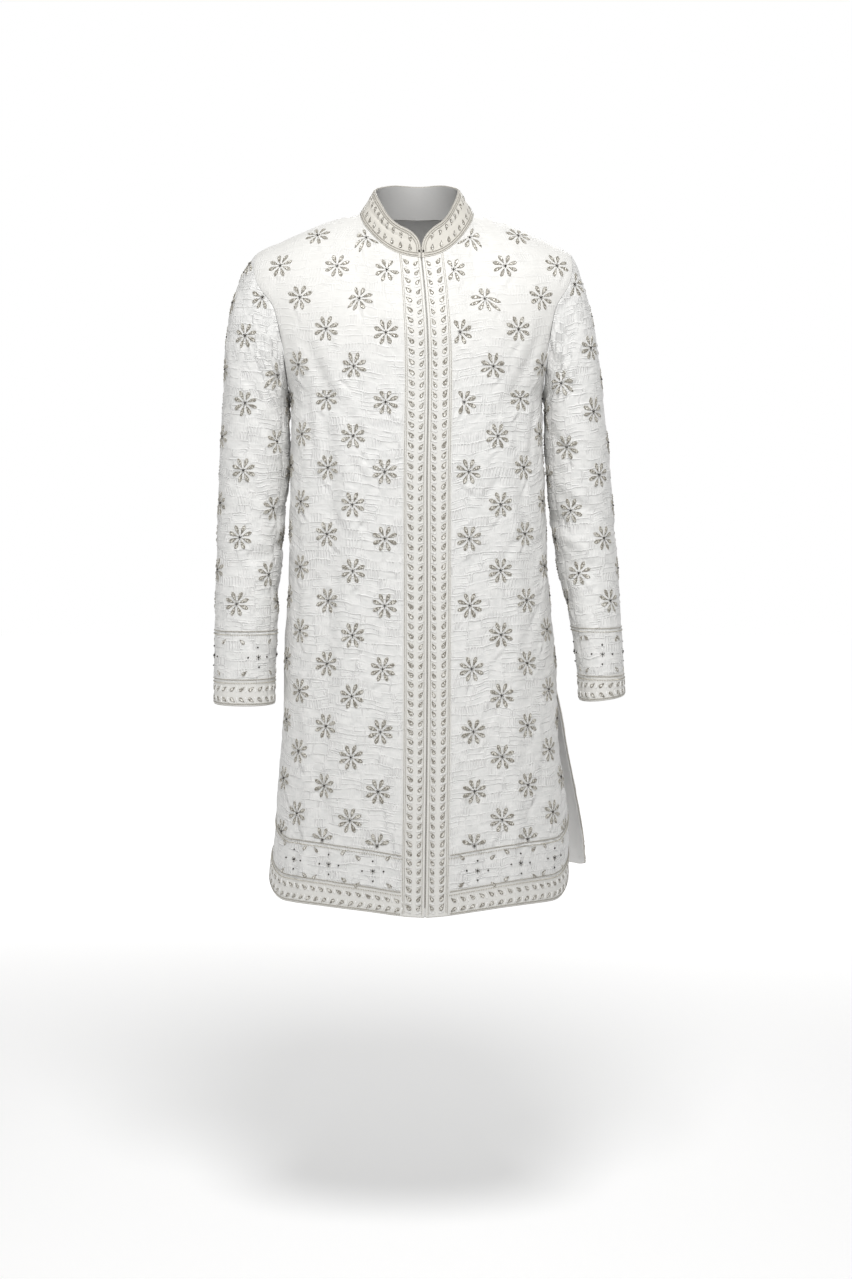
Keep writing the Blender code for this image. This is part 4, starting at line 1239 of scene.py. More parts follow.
def arm_ring(side, z, angles):
    """Points round the arm at one height; angle 0 is outermost and 90 degrees is the front."""
    rows = ARM[side]
    middle = np.array([OUT[side] * read(rows, "x", z), read(rows, "y", z)])
    cos, sin = np.cos(angles), np.sin(angles)
    square = (np.abs(cos) ** ARM_POWER + np.abs(sin) ** ARM_POWER) ** (-1 / ARM_POWER)
    crease = np.zeros_like(angles)
    for at, angle, slope, deep, along, across in zip(*CREASES[side].values()):
        turn = turned(np.degrees(angles), angle)
        level = at + slope * turn / along
        crease += deep * np.exp(-(turn / along) ** 2 - ((z - level) / across) ** 2)
    x = middle[0] + OUT[side] * (read(rows, "half_x", z) * square - crease) * cos
    y = middle[1] - (read(rows, "half_y", z) * square - crease) * sin
    rise = CUFF_RISE[side] * (1 + cos) / 2 * ease((CUFF_SLANT[0] - z) / CUFF_SLANT[1])
    return stack(x, y, np.full_like(x, z) + rise)


def armhole_ring(front, front_normals, back, back_normals):
    """Points and normals round an armhole in order: tip, front, armpit, back."""
    even = row_shares(RING_HALF)
    at = np.interp(even, row_shares(HIGH_ROWS), np.arange(HIGH_ROWS + 1))
    rows = np.arange(HIGH_ROWS + 1)
    front, front_normals, back, back_normals = (
        read_line(line, rows, at) for line in (front, front_normals, back, back_normals))
    points = np.concatenate([front[::-1], back[1:-1]])
    normals = np.concatenate([front_normals[::-1], back_normals[1:-1]])
    points[0] = (front[-1] + back[-1]) / 2
    points[RING_HALF] = (front[0] + back[0]) / 2
    return points, unit(normals)


def sleeve_cloth(side, ring):
    """A whole sleeve: rows from cuff to armhole, columns round the arm from the outermost line."""
    start, normals = ring
    shares = row_shares(RING_HALF)
    angles = math.pi * np.concatenate([1 - shares[::-1], 1 + shares[1:-1]])
    tangent = unit(np.roll(start, -1, axis=0) - np.roll(start, 1, axis=0))
    normals = square_to(tangent, normals)
    onward = np.cross(tangent, normals)
    if (onward * (start - np.array([0.0, 0.0, ARMPIT_Z]))).sum() < 0:
        onward = -onward
    top_z = ARM[side]["z"][-1]
    arm = arm_ring(side, top_z, angles)
    after = arm_ring(side, top_z - ARM_START, angles)
    reach = np.linalg.norm(arm - start, axis=-1, keepdims=True)
    fullness, leave_pull, arrive_pull = SLEEVE_HEAD[side]
    outward = np.array([OUT[side], 0.0, 0.0]) * (fullness * np.cos(angles / 2) ** 2)[:, None]
    clear = np.array([OUT[side], 0.0, 0.0]) * (UNDERARM_SPREAD * np.sin(angles / 2) ** 4)[:, None]
    leave = unit((arm - start) / reach + outward + clear)
    fold = np.arctan2((leave * normals).sum(-1), (leave * onward).sum(-1))
    fold = np.maximum(fold, 0.0)[:, None]
    begin = start + SEAM * (onward * np.cos(fold / 2) + normals * np.sin(fold / 2))
    begin_normals = normals * np.cos(fold) - onward * np.sin(fold)
    arrive = unit(after - arm)
    rows = []
    for step in np.linspace(0.0, 1.0, CAP_ROWS + 1):
        first = 2 * step ** 3 - 3 * step ** 2 + 1
        second = step ** 3 - 2 * step ** 2 + step
        fourth = step ** 3 - step ** 2
        bend = second * leave_pull * leave + fourth * arrive_pull * arrive
        rows.append(first * begin + (1 - first) * arm + reach * bend)
    for z in np.linspace(top_z, ARM[side]["z"][0], ARM_ROWS + 1)[1:]:
        rows.append(arm_ring(side, z, angles))
    grid = np.array(rows)[::-1]
    around = ring_distance(grid)
    cloth = Cloth("sleeve_" + side, grid, ring_normals(grid, begin_normals), around, wrap=True)
    folds = SLEEVE_FOLDS[side]
    degrees = np.degrees(angles)[None, :] + np.zeros(cloth.v.shape)

    def across(angle):
        return turned(degrees, angle) / 360.0 * SLEEVE_ROUND

    height = fold_height(across, cloth.v, folds, folds["angle"], folds["v"])
    fade = ease(cloth.v / CUFF_FADE)
    for away in seam_distances(cloth):
        fade = fade * ease(away / EDGE_FADE)
    grid = grid + cloth.normals * (height * fade)[..., None]
    normals = ring_normals(grid, begin_normals)
    cloth = Cloth(cloth.name, grid, normals, ring_distance(grid), wrap=True)
    cloth.rise = CUFF_RISE[side] * (1 + np.cos(angles)) / 2
    return cloth


def ring_distance(grid):
    """Distance round a sleeve from the outermost line."""
    closed = np.concatenate([grid, grid[:, :1]], axis=1)
    return distance_along(closed, 1)[:, :-1]


def ring_normals(grid, last):
    """Outward normals of a sleeve's grid; the armhole row has its own."""
    up = np.gradient(grid, axis=0)
    around = np.roll(grid, -1, axis=1) - np.roll(grid, 1, axis=1)
    normals = unit(np.cross(around, up))
    if (normals * (grid - grid.mean(axis=1, keepdims=True))).sum() < 0:
        normals = -normals
    normals[-1] = last
    return normals


def sleeve_flowers(cloth, side):
    columns = cloth.u.shape[1]
    pitch = SLEEVE_FLOWER_PITCH[side]
    turn, from_v, rise = SLEEVE_HEAD_TURN
    places = []
    for k in range(SLEEVE_FLOWER_COLUMNS):
        start = SLEEVE_FLOWER_START + pitch * (0.5 if k % 2 == 0 else 0.0)
        if k == 2:
            start -= SLEEVE_FLOWER_DROP[side]
        for v in np.arange(start, cloth.v.max(), pitch):
            share = SLEEVE_FLOWER_FIRST[side] + k / SLEEVE_FLOWER_COLUMNS
            share -= math.copysign(turn, 0.5 - share) * ease((v - from_v) / rise)
            column = share % 1.0 * columns
            top = cloth.v[-1, int(column) % columns]
            if v < top - CAP_CLEAR:
                places.append((cloth.row_at(v, column), column))
    for share, below in CAP_FLOWERS[side]:
        column = share * columns
        places.append((cloth.row_at(cloth.v[-1, int(column)] - below, column), column))
    return np.array(places)


def sleeve_walls(side, cloth, materials):
    """Cut a sleeve along its two seams into the upper and the under sleeve."""
    count = cloth.grid.shape[1]
    front_seam, back_seam = SLEEVE_SEAMS
    around = np.roll(cloth.inner_grid, -1, axis=1) - np.roll(cloth.inner_grid, 1, axis=1)
    normals = cloth.inner_normals
    around = square_to(normals, around)
    upper = list(range(back_seam, count)) + list(range(front_seam + 1))
    under = list(range(front_seam, back_seam + 1))
    walls = []
    for name, columns in (("upper", upper), ("under", under)):
        shift = np.zeros((1, len(columns), 1))
        shift[0, 0], shift[0, -1] = SEAM / 2, -SEAM / 2
        outer = cloth.grid[:, columns] + around[:, columns] * shift
        inner = cloth.inner_grid[:, columns] + around[:, columns] * shift
        inner = inner - normals[:, columns] * CLOTH
        u = distance_along(cloth.inner_grid[:, columns], 1) + PATTERN_SHIFT[cloth.name]
        uv = stack(u, cloth.v[:, columns])
        walls.append(wall("sleeve_" + name + "_" + side + "_cloth", outer, inner, materials, uv,
                          cloth.smooth[:, columns]))
    return walls


# ---- collar, strip behind the opening, lining
def neck_line(front_right, back, front_left):
    """The neckline's points from the right front's end round the back to the left front's."""
    right = front_right[-1, :NECK_COLUMNS + 1]
    left = front_left[-1, :NECK_COLUMNS + 1][::-1]
    behind = back[-1, SHOULDER_COLUMNS:-SHOULDER_COLUMNS]
    right_end = (right[-1] + behind[0]) / 2
    left_end = (left[0] + behind[-1]) / 2
    return np.concatenate([right[:-1], [right_end], behind[1:-1], [left_end], left[1:]])


def oval(values, cos):
    """Pass smoothly round the neck through a front, a side and a back value."""
    front, side, back = values
    even = (front + back) / 4 + side / 2
    return even + (front - back) / 2 * cos + (even - side) * (2 * cos ** 2 - 1)


def collar_cloth(base):
    """The stand collar: it follows the neckline, leans in, and is rounded at its front corners."""
    length = length_along(base)
    even = np.linspace(-1, 1, COLLAR_COLUMNS + 1)
    gathered = COLLAR_EVEN * even + (1 - COLLAR_EVEN) * np.sin(even * math.pi / 2)
    places = (1 + gathered) / 2 * length[-1]
    foot = read_line(base, length, places)
    inward = np.array([0.0, COLLAR_MIDDLE_Y, 0.0]) - foot
    inward[:, 2] = 0.0
    inward = unit(inward)
    cos = inward[:, 1]
    climb = (oval(COLLAR["top_z"], cos) - foot[:, 2])[:, None]
    edge = climb * (oval(COLLAR["lean"], cos)[:, None] * inward + np.array([0.0, 0.0, 1.0]))
    slant = np.linalg.norm(edge, axis=1)
    height = slant - corner_rise(np.minimum(places, length[-1] - places), COLLAR_CORNER)
    rise = unit(edge)
    steps = np.arange(COLLAR_ROWS + 1) / COLLAR_ROWS
    grid = foot[None] + rise[None] * (SEAM + steps[:, None, None] * height[None, :, None])
    along = unit(np.gradient(foot, axis=0))
    normals = unit(np.cross(along, rise))
    if (normals * -inward).sum() < 0:
        normals = -normals
    share = places / length[-1]
    crease = np.zeros((len(steps), len(places)))
    for at, up, lean, wide, high, deep in COLLAR_CREASES:
        across = (share[None, :] - at) / wide
        level = up + lean * across
        crease += deep * np.exp(-across ** 2 - ((steps[:, None] - level) / high) ** 2)
    inner = grid - normals[None] * COLLAR_CLOTH
    grid = grid + normals[None] * crease[..., None]
    cloth = Cloth("collar", grid, grid_normals(grid), distance_along(grid, 1))
    cloth.inner_grid = inner
    cloth.places, cloth.slant = places, slant
    return cloth


def collar_wall(cloth, materials):
    return wall("collar_cloth", cloth.grid, cloth.inner_grid, materials, stack(cloth.u, cloth.v))


def underlap_wall(materials):
    """The plain strip behind the channel between the fronts."""
    heights = np.linspace(UNDERLAP_HEM_Z, UNDERLAP_TOP_Z, 321)
    across = np.linspace(-1, 1, 13) * (OPENING_HALF + UNDERLAP_REACH)
    x = read(OPENING, "x", heights)[:, None] + across[None, :]
    z = np.repeat(heights[:, None], len(across), axis=1)
    y = torso_y(np.abs(x), z, "L", "front") - flute(np.abs(x), z, "L", "front") * (z < ARMPIT_Z)
    grid = stack(x, y, z)
    normals = grid_normals(grid)
    outer = grid - normals * (CLOTH + UNDERLAP_GAP)
    uv = stack(distance_along(grid, 1), distance_along(grid, 0))
    return wall("front_underlap_cloth", outer, outer - normals * CLOTH, materials, uv)


def lining_wall(back, materials):
    """Plain lining inside the lower back, which shows through the side vents."""
    rows = slice(0, LINING_TOP_ROW + 1)
    grid, normals = back.inner_grid[rows].copy(), back.inner_normals[rows]
    v = back.v[rows]
    grid[..., 2] += LINING_INSET * np.clip(1 - v / LINING_RISE, 0, 1)
    inward = CLOTH + SEAM + LINING_GAP
    outer, inner, uv = (field[::2, ::2] for field in (
        grid - normals * inward, grid - normals * (inward + LINING_CLOTH), stack(back.u[rows], v)))
    return wall("back_lining_cloth", outer, inner, materials, uv)


# ---- embroidery
class Shape:
    """A small raised shape: points as (right, up, proud), faces and thread coordinates."""

    def __init__(self, points, quads, triangles, uv):
        self.points = np.array(points, dtype=float)
        self.quads = np.array(quads, dtype=int).reshape(-1, 4)
        self.triangles = np.array(triangles, dtype=int).reshape(-1, 3)
        self.uv = np.array(uv, dtype=float)

    def moved(self, up):
        return Shape(self.points + np.array([0.0, up, 0.0]), self.quads, self.triangles, self.uv)


def ringed(outline, centre, rings):
    """A shape from an outline drawn in towards a centre in rings of (share, height, thread)."""
    count = len(outline)
    length = length_along(outline)
    points, uv, quads = [], [], []
    for number, (share, height, thread) in enumerate(rings):
        ring = np.array(centre) + (outline - centre) * share
        points += [(x, y, height) for x, y in ring]
        uv += [(place, thread) for place in length]
        if number:
            base = (number - 1) * count
            for k in range(count):
                after = (k + 1) % count
                quads.append((base + k, base + after, base + count + after, base + count + k))
    base = (len(rings) - 1) * count
    points.append((*centre, rings[-1][1]))
    uv.append((0.0, 1.0))
    triangles = [(base + k, base + (k + 1) % count, len(points) - 1) for k in range(count)]
    return Shape(points, quads, triangles, uv)


def drop(start, end, width, sides=12, point=0.0):
    """A padded teardrop from its thin end to its broad end, edged with a raised cord."""
    turns = np.arange(sides) / sides * 2 * math.pi
    share = (1 - np.cos(turns)) / 2
    y = start + (end - start) * share
    x = np.sin(turns) * (0.22 + share ** 1.2) * (1 - point * share ** 5)
    x = x * width / 2 / np.abs(x).max()
    centre = (0.0, start + (end - start) * 0.64)
    rings = ((1.0, -0.0002, 0.0), (0.86, 0.0009, 0.3), (0.68, 0.0011, 0.5), (0.42, 0.0006, 0.8))
    return ringed(np.column_stack([x, y]), centre, rings)


def dome(radius, height, sides=6):
    turns = -np.arange(sides) / sides * 2 * math.pi
    ring = np.column_stack([np.cos(turns), np.sin(turns)]) * radius
    rings = ((1.0, -0.0002, 0.0), (0.78, 0.62 * height, 0.5), (0.35, height, 0.9))
    if sides < 6:
        rings = ((1.0, -0.0002, 0.0), (0.58, height, 0.7))
    return ringed(ring[::-1], (0.0, 0.0), rings)


PETAL_SHAPE = drop(*PETAL, point=POINTED)
LEAF_SHAPE = drop(LEAF[0] / 2, -LEAF[0] / 2, -LEAF[1], 10, POINTED / 2)
SMALL_LEAF = drop(SMALLER_LEAF[0] / 2, -SMALLER_LEAF[0] / 2, -SMALLER_LEAF[1], 10, POINTED / 2)
BEAD_SHAPE = dome(0.00095, 0.0013, 5)
SMALL_BEAD = dome(0.0008, 0.0015, 4)
DARK_BEAD = dome(0.0019, 0.0024, 6)
DOT_BEAD = dome(0.0015, 0.0018, 6)
FINE_BEAD = dome(0.00068, 0.001, 4)
PETAL_BEAD = dome(0.001, 0.0019, 4)
BAR_SHAPE = drop(BAR[0] / 2, -BAR[0] / 2, -BAR[1], 8)
THREAD, METAL, DARK, CORDING, WHITE, EDGING = range(6)  # material numbers of the embroidery


class Stitching:
    """Gathers small shapes and cords laid on one cloth into one mesh."""

    def __init__(self, cloth=None):
        self.cloth = cloth
        self.points, self.uv, self.groups, self.count = [], [], [], 0

    def add(self, points, quads, triangles, uv, slot):
        self.points.append(points.reshape(-1, 3))
        self.uv.append(uv)
        for faces in (quads, triangles):
            if len(faces):
                self.groups.append((faces + self.count, slot))
        self.count += len(self.points[-1])

    def make(self, name, materials):
        return mesh_object(name, np.concatenate(self.points), self.groups, materials,
                           np.concatenate(self.uv), sharp=None)

    def shapes(self, row, column, turn, shape, slot):
        """Lay one shape at many places."""
        if len(np.atleast_1d(row)) == 0:
            return
        points = self.cloth.lay(row, column, turn, shape.points)
        many, each = points.shape[:2]
        start = (np.arange(many) * each)[:, None, None]
        quads = (shape.quads[None] + start).reshape(-1, 4)
        triangles = (shape.triangles[None] + start).reshape(-1, 3)
        self.add(points, quads, triangles, np.tile(shape.uv, (many, 1)), slot)

    def strip(self, grid, closed, slot):
        """A strip of faces along rows of points; closed joins each row's ends."""
        many, around = grid.shape[:2]
        index = np.arange(many * around).reshape(many, around)
        if closed:
            index = np.concatenate([index, index[:, :1]], axis=1)
        length = distance_along(grid[:, :1], 0)
        uv = stack(length, np.linspace(0, 1, around))
        self.add(grid, quads_of(index)[:, ::-1], (), uv.reshape(-1, 2), slot)

    def beads(self, line, fine=False):
        places = self.cloth.even(*line, FINE_BEAD_PITCH if fine else BEAD_PITCH)
        self.shapes(*places, 0.0, FINE_BEAD if fine else BEAD_SHAPE, METAL)

    def cord(self, line, half_width=CORD[0], height=CORD[1]):
        """A thin twisted cord couched along a line of rows and columns."""
        points, normals = self.cloth.place(*self.cloth.even(*line, CORD_STEP))
        beside = np.cross(normals, unit(np.gradient(points, axis=0)))
        rings = [points + beside * (side * half_width) + normals * (up * height)
                 for side, up in CORD_PROFILE]
        self.strip(np.stack(rings, axis=1), closed=False, slot=CORDING)

    def tube(self, points, normals, radius=PIPING, sides=8):
        """A round piping along an edge."""
        along = unit(np.gradient(points, axis=0))
        normals = square_to(along, normals)
        beside = np.cross(normals, along)
        turns = np.arange(sides) / sides * 2 * math.pi
        rings = [points + radius * (normals * math.cos(t) + beside * math.sin(t)) for t in turns]
        self.strip(np.stack(rings, axis=1), closed=True, slot=EDGING)

    def cluster(self, row, column, radius):
        """A dark bead with silver and dark beads by turns in a ring round it."""
        self.shapes(row, column, 0.0, DARK_BEAD, DARK)
        for number, turn in enumerate(np.radians(np.arange(0, 360, 60))):
            self.shapes(row, column, turn, SMALL_BEAD.moved(radius), DARK if number % 2 else METAL)

    def flowers(self, places, low_v, low_u=None):
        """Flowers with a beaded middle; petals that would cross a border are left out."""
        start, end, _ = PETAL
        ends = np.array([[0.0, (start + end) / 2, 0.0], [0.0, end - PETAL_INSET, 0.0]])
        for turn in np.radians(FLOWER_RING + 360.0 / PETALS * np.arange(PETALS)):
            kept = places[self.cloth.clear(places, turn, ends, low_v, low_u)].T
            self.shapes(*kept, turn, PETAL_SHAPE, THREAD)
            for along in PETAL_BEADS:
                self.shapes(*kept, turn, PETAL_BEAD.moved(along), METAL)
        middle = np.array([[0.0, 0.0, 0.0], [0.0, MIDDLE_REACH, 0.0]])
        kept = places[self.cloth.clear(places, 0.0, middle, low_v, low_u)].T
        self.cluster(*kept, CLUSTER_RADIUS["flower"])

    def leaf_line(self, line, lean, base, pitch, shape):
        """A row of leaves with a white padded bar between each two; base turns the whole motif."""
        row, column = self.cloth.even(*line, pitch)
        self.shapes(row, column, math.radians(base + lean), shape, THREAD)
        turn = math.radians(base)
        below = np.array([[BAR_BELOW * math.sin(turn), -BAR_BELOW * math.cos(turn), 0.0]])
        at_row, at_column = self.cloth.offsets(row, column, 0.0, below)
        kept = at_row[:, 0] > 1.0
        bar_turn = math.radians(base + math.copysign(BAR_TURN, lean))
        self.shapes(at_row[kept, 0], at_column[kept, 0], bar_turn, BAR_SHAPE, WHITE)

    def level_border(self, start, end, block, centres, leaf_up, base=90.0):
        """Leaf border, block motifs and double lines that run along a hem or cuff."""
        for v, lean in zip(LEAF_ROWS, (LEAF_TILT, -LEAF_TILT)):
            line = self.cloth.along_v(v, start, end)
            self.leaf_line(line, lean * base / 90, base, HEM_LEAF_PITCH, SMALL_LEAF)
        low, high = block
        for lay, v in ((self.cord, HEM_LINE), (self.beads, low), (self.cord, low + DOUBLE_LINE),
                       (self.beads, high - DOUBLE_LINE), (self.cord, high)):
            lay(self.cloth.along_v(v, start, end))
        for column in centres:
            row = self.cloth.row_at((low + high) / 2, column)
            self.block_motif(np.array([row]), np.array([float(column)]), leaf_up)

    def block_motif(self, row, column, leaf_up):
        """A beaded cluster with four dots round it, and leaves at the corners of its block."""
        cloth = self.cloth
        self.cluster(row, column, CLUSTER_RADIUS["block"])
        across, up = BLOCK_DOTS
        places = np.array([(across, 0, 0), (-across, 0, 0), (0, up, 0), (0, -up, 0)])
        at_row, at_column = cloth.offsets(row, column, 0.0, places)
        self.shapes(at_row[0], at_column[0], 0.0, DOT_BEAD, DARK)
        half = BLOCK_PITCH / 2 - BLOCK_LEAVES
        for side, above in ((-1, -1), (-1, 1), (1, -1), (1, 1)):
            place = np.array([[side * half, above * leaf_up, 0.0]])
            at_row, at_column = cloth.offsets(row, column, 0.0, place)
            inside = cloth.wrap or (1 < at_column[0, 0] < cloth.u.shape[1] - 2)
            if cloth.name.startswith("front"):
                u = cloth.sample(cloth.u, at_row, at_column)[0, 0]
                inside = inside and u > BAND + BLOCK_CLEAR
            if inside:
                turn = math.radians(-side * above * BLOCK_LEAF_TURN)
                self.shapes(at_row[0], at_column[0], turn, SMALL_LEAF, THREAD)


def front_embroidery(cloth, places, side):
    stitching = Stitching(cloth)
    rows, columns = cloth.u.shape
    numbers = np.arange(columns)
    stitching.flowers(places, HEM_BLOCK[1] + FLOWER_CLEAR, BAND + BAND_CLEAR)
    for u, lean, shape in zip(BAND_LEAF_ROWS, BAND_LEANS[side], (SMALL_LEAF, LEAF_SHAPE)):
        stitching.leaf_line(cloth.along_u(u, 3, rows - 4), lean, 0.0, BAND_LEAF_PITCH, shape)
    edge, inner, cord = (cloth.along_u(u, 1, rows - 1.2) for u in BAND_LINES)
    stitching.beads(edge, fine=True)
    stitching.beads(inner, fine=True)
    stitching.cord(cord, *BAND_CORD)
    start = np.interp(BAND + BAND_START, cloth.u[BORDER_ROW], numbers)
    blocks = np.interp(BLOCK_START + BLOCK_PITCH * np.arange(3), cloth.u[BLOCK_ROW], numbers)
    stitching.level_border(start, columns - 1.5, HEM_BLOCK, blocks, HEM_LEAF_UP)
    return stitching


def back_embroidery(cloth, places):
    stitching = Stitching(cloth)
    columns = cloth.u.shape[1]
    stitching.flowers(places, HEM_BLOCK[1] + FLOWER_CLEAR)
    blocks = np.interp(BLOCK_PITCH * np.arange(-3, 4), cloth.u[BLOCK_ROW], np.arange(columns))
    stitching.level_border(1, columns - 2, HEM_BLOCK, blocks, HEM_LEAF_UP)
    return stitching


def sleeve_embroidery(cloth, places, side):
    stitching = Stitching(cloth)
    columns = cloth.u.shape[1]
    stitching.flowers(places, CUFF_BLOCK[1] + FLOWER_CLEAR)
    blocks = (CUFF_FIRST[side] + np.arange(CUFF_MOTIFS) / CUFF_MOTIFS) % 1.0 * columns
    stitching.level_border(0.0, float(columns), CUFF_BLOCK, blocks, CUFF_LEAF_UP, base=-90.0)
    return stitching


def collar_embroidery(cloth):
    """Double lines along every edge of the collar, and leaves whose points face each other."""
    stitching = Stitching(cloth)
    rows, columns = cloth.u.shape
    length = cloth.places[-1]

    def on_grid(place, v):
        column = np.interp(place, cloth.places, np.arange(columns))
        row = [np.interp(at, cloth.v[:, int(round(c))], np.arange(rows))
               for at, c in zip(v, column)]
        return np.array(row), column

    def upper_line(inset):
        """Up one front edge, round its corner, along the top and down the other front edge."""
        turn = np.linspace(0, math.pi / 2, CORNER_POINTS)
        reach = COLLAR_CORNER - inset
        place = COLLAR_CORNER - reach * np.cos(turn)
        drop_by = COLLAR_CORNER - reach * np.sin(turn)
        straight = np.linspace(COLLAR_CORNER, length - COLLAR_CORNER, UP_POINTS)[1:-1]
        place = np.concatenate([place, straight, length - place[::-1]])
        drop_by = np.concatenate([drop_by, np.full_like(straight, inset), drop_by[::-1]])
        v = np.interp(place, cloth.places, cloth.slant) - drop_by
        foot = np.linspace(COLLAR_FOOT, v[0], FOOT_POINTS)[:-1]
        ends = np.full_like(foot, inset)
        place = np.concatenate([ends, place, length - ends])
        return on_grid(place, np.concatenate([foot, v, foot[::-1]]))

    def lower_line(v):
        place = np.linspace(COLLAR_LINE_END, length - COLLAR_LINE_END, HEM_POINTS)
        return on_grid(place, np.full_like(place, v))

    for line in [*map(lower_line, COLLAR_LOWER_LINES), *map(upper_line, COLLAR_UPPER_LINES)]:
        stitching.cord(line, COLLAR_CORD)
    place = np.linspace(COLLAR_LEAF_START, length - COLLAR_LEAF_START, COLLAR_LEAVES)
    lean = np.where(place < length / 2, COLLAR_LEAF_LEAN, -COLLAR_LEAF_LEAN)
    low, high = COLLAR_LEAF_V
    height = np.interp(place, cloth.places, cloth.slant)
    for v, base in ((np.full_like(place, low), 0.0), (height - high, 180.0)):
        for at_row, at_column, tilt in zip(*on_grid(place, v), lean):
            stitching.shapes(at_row, at_column, math.radians(base + tilt), SMALL_LEAF, THREAD)
    inset, up = COLLAR_KNOTS
    ends = on_grid(np.array([inset, length - inset]), np.array([up, up]))
    stitching.shapes(*ends, 0.0, DARK_BEAD, DARK)
    return stitching


def edge_piping(body, sleeves, collar):
    """Round piping along every free edge: openings, hems, vents, cuffs and the collar's top."""
    stitching = Stitching()

    def run(cloth, pick):
        points = (cloth.grid[pick] + (cloth.inner_grid - cloth.inner_normals * CLOTH)[pick]) / 2
        stitching.tube(points[::2], cloth.inner_normals[pick][::2])

    for cloth in body:
        vent = int(np.searchsorted(cloth.inner_grid[:, -1, 2], VENT_TOP_Z))
        run(cloth, (0, slice(None)))
        run(cloth, (slice(0, vent), -1))
        run(cloth, (slice(0, vent), 0) if cloth.name == "back" else (slice(None), 0))
    for cloth in sleeves:
        closed = list(range(cloth.u.shape[1])) + [0, 1, 2]
        run(cloth, (0, closed))
    middle = (collar.grid + collar.inner_grid) / 2
    for edge in ((-1, slice(None)), (slice(None), 0), (slice(None), -1)):
        stitching.tube(middle[edge], collar.normals[edge], radius=COLLAR_PIPING)
    return stitching


# ---- materials
class Look:
    """Builds one material's nodes from short calls."""

    def __init__(self, name, **sockets):
        self.material = bpy.data.materials.new(name)
        self.material.use_nodes = True
        self.tree = self.material.node_tree
        self.shader = self.tree.nodes["Principled BSDF"]
        for socket, value in sockets.items():
            self.shader.inputs[socket.replace("_", " ")].default_value = value

    def put(self, socket, value):
        if isinstance(value, bpy.types.NodeSocket):
            self.tree.links.new(value, socket)
        else:
            socket.default_value = value

    def node(self, kind, *values, **settings):
        """Add a node, fill its first inputs with values or links, and return its outputs."""
        node = self.tree.nodes.new("ShaderNode" + kind)
        for key, value in settings.items():
            setattr(node, key, value)
        for socket, value in zip(node.inputs, values):
            self.put(socket, value)
        return node.outputs

    def math(self, operation, *values):
        return self.node("Math", *values, operation=operation)[0]

    times = partialmethod(math, "MULTIPLY")
    times_plus = partialmethod(math, "MULTIPLY_ADD")
    least = partialmethod(math, "MINIMUM")
    rest = partialmethod(math, "SUBTRACT", 1.0)
    whole = partialmethod(math, "FLOOR")
    fold = partialmethod(math, "PINGPONG")  # back and forth between 0 and half a repeat

    def step(self, value, low, high):
        """0 below low and 1 above high, smooth between them."""
        return self.node("MapRange", value, low, high, interpolation_type="SMOOTHSTEP")[0]

    def mix(self, share, first, second):
        node = self.tree.nodes.new("ShaderNodeMix")
        node.data_type = "RGBA"
        for number, value in ((0, share), (6, first), (7, second)):
            self.put(node.inputs[number], value if not isinstance(value, tuple) else (*value, 1.0))
        return node.outputs[2]

    def vector(self, x, y, z=0.0):
        return self.node("CombineXYZ", x, y, z)[0]

    def noise(self, vector, scale, detail=2.0):
        node = self.tree.nodes.new("ShaderNodeTexNoise")
        for socket, value in (("Vector", vector), ("Scale", scale), ("Detail", detail)):
            self.put(node.inputs[socket], value)
        return node.outputs[0]

    def chance(self, vector):
        """A random number for each whole-numbered place."""
        return self.node("TexWhiteNoise", vector, noise_dimensions="2D")[0]

    def cloth_place(self):
        return self.node("SeparateXYZ", self.node("UVMap", uv_map="cloth")[0])[:2]

    def bump(self, height):
        """Raise the surface by a height given in millimetres."""
        node = self.tree.nodes.new("ShaderNodeBump")
        node.inputs["Distance"].default_value = 0.001
        self.put(node.inputs["Height"], height)
        self.put(self.shader.inputs["Normal"], node.outputs[0])

    def colour(self, value):
        self.put(self.shader.inputs["Base Color"], value)


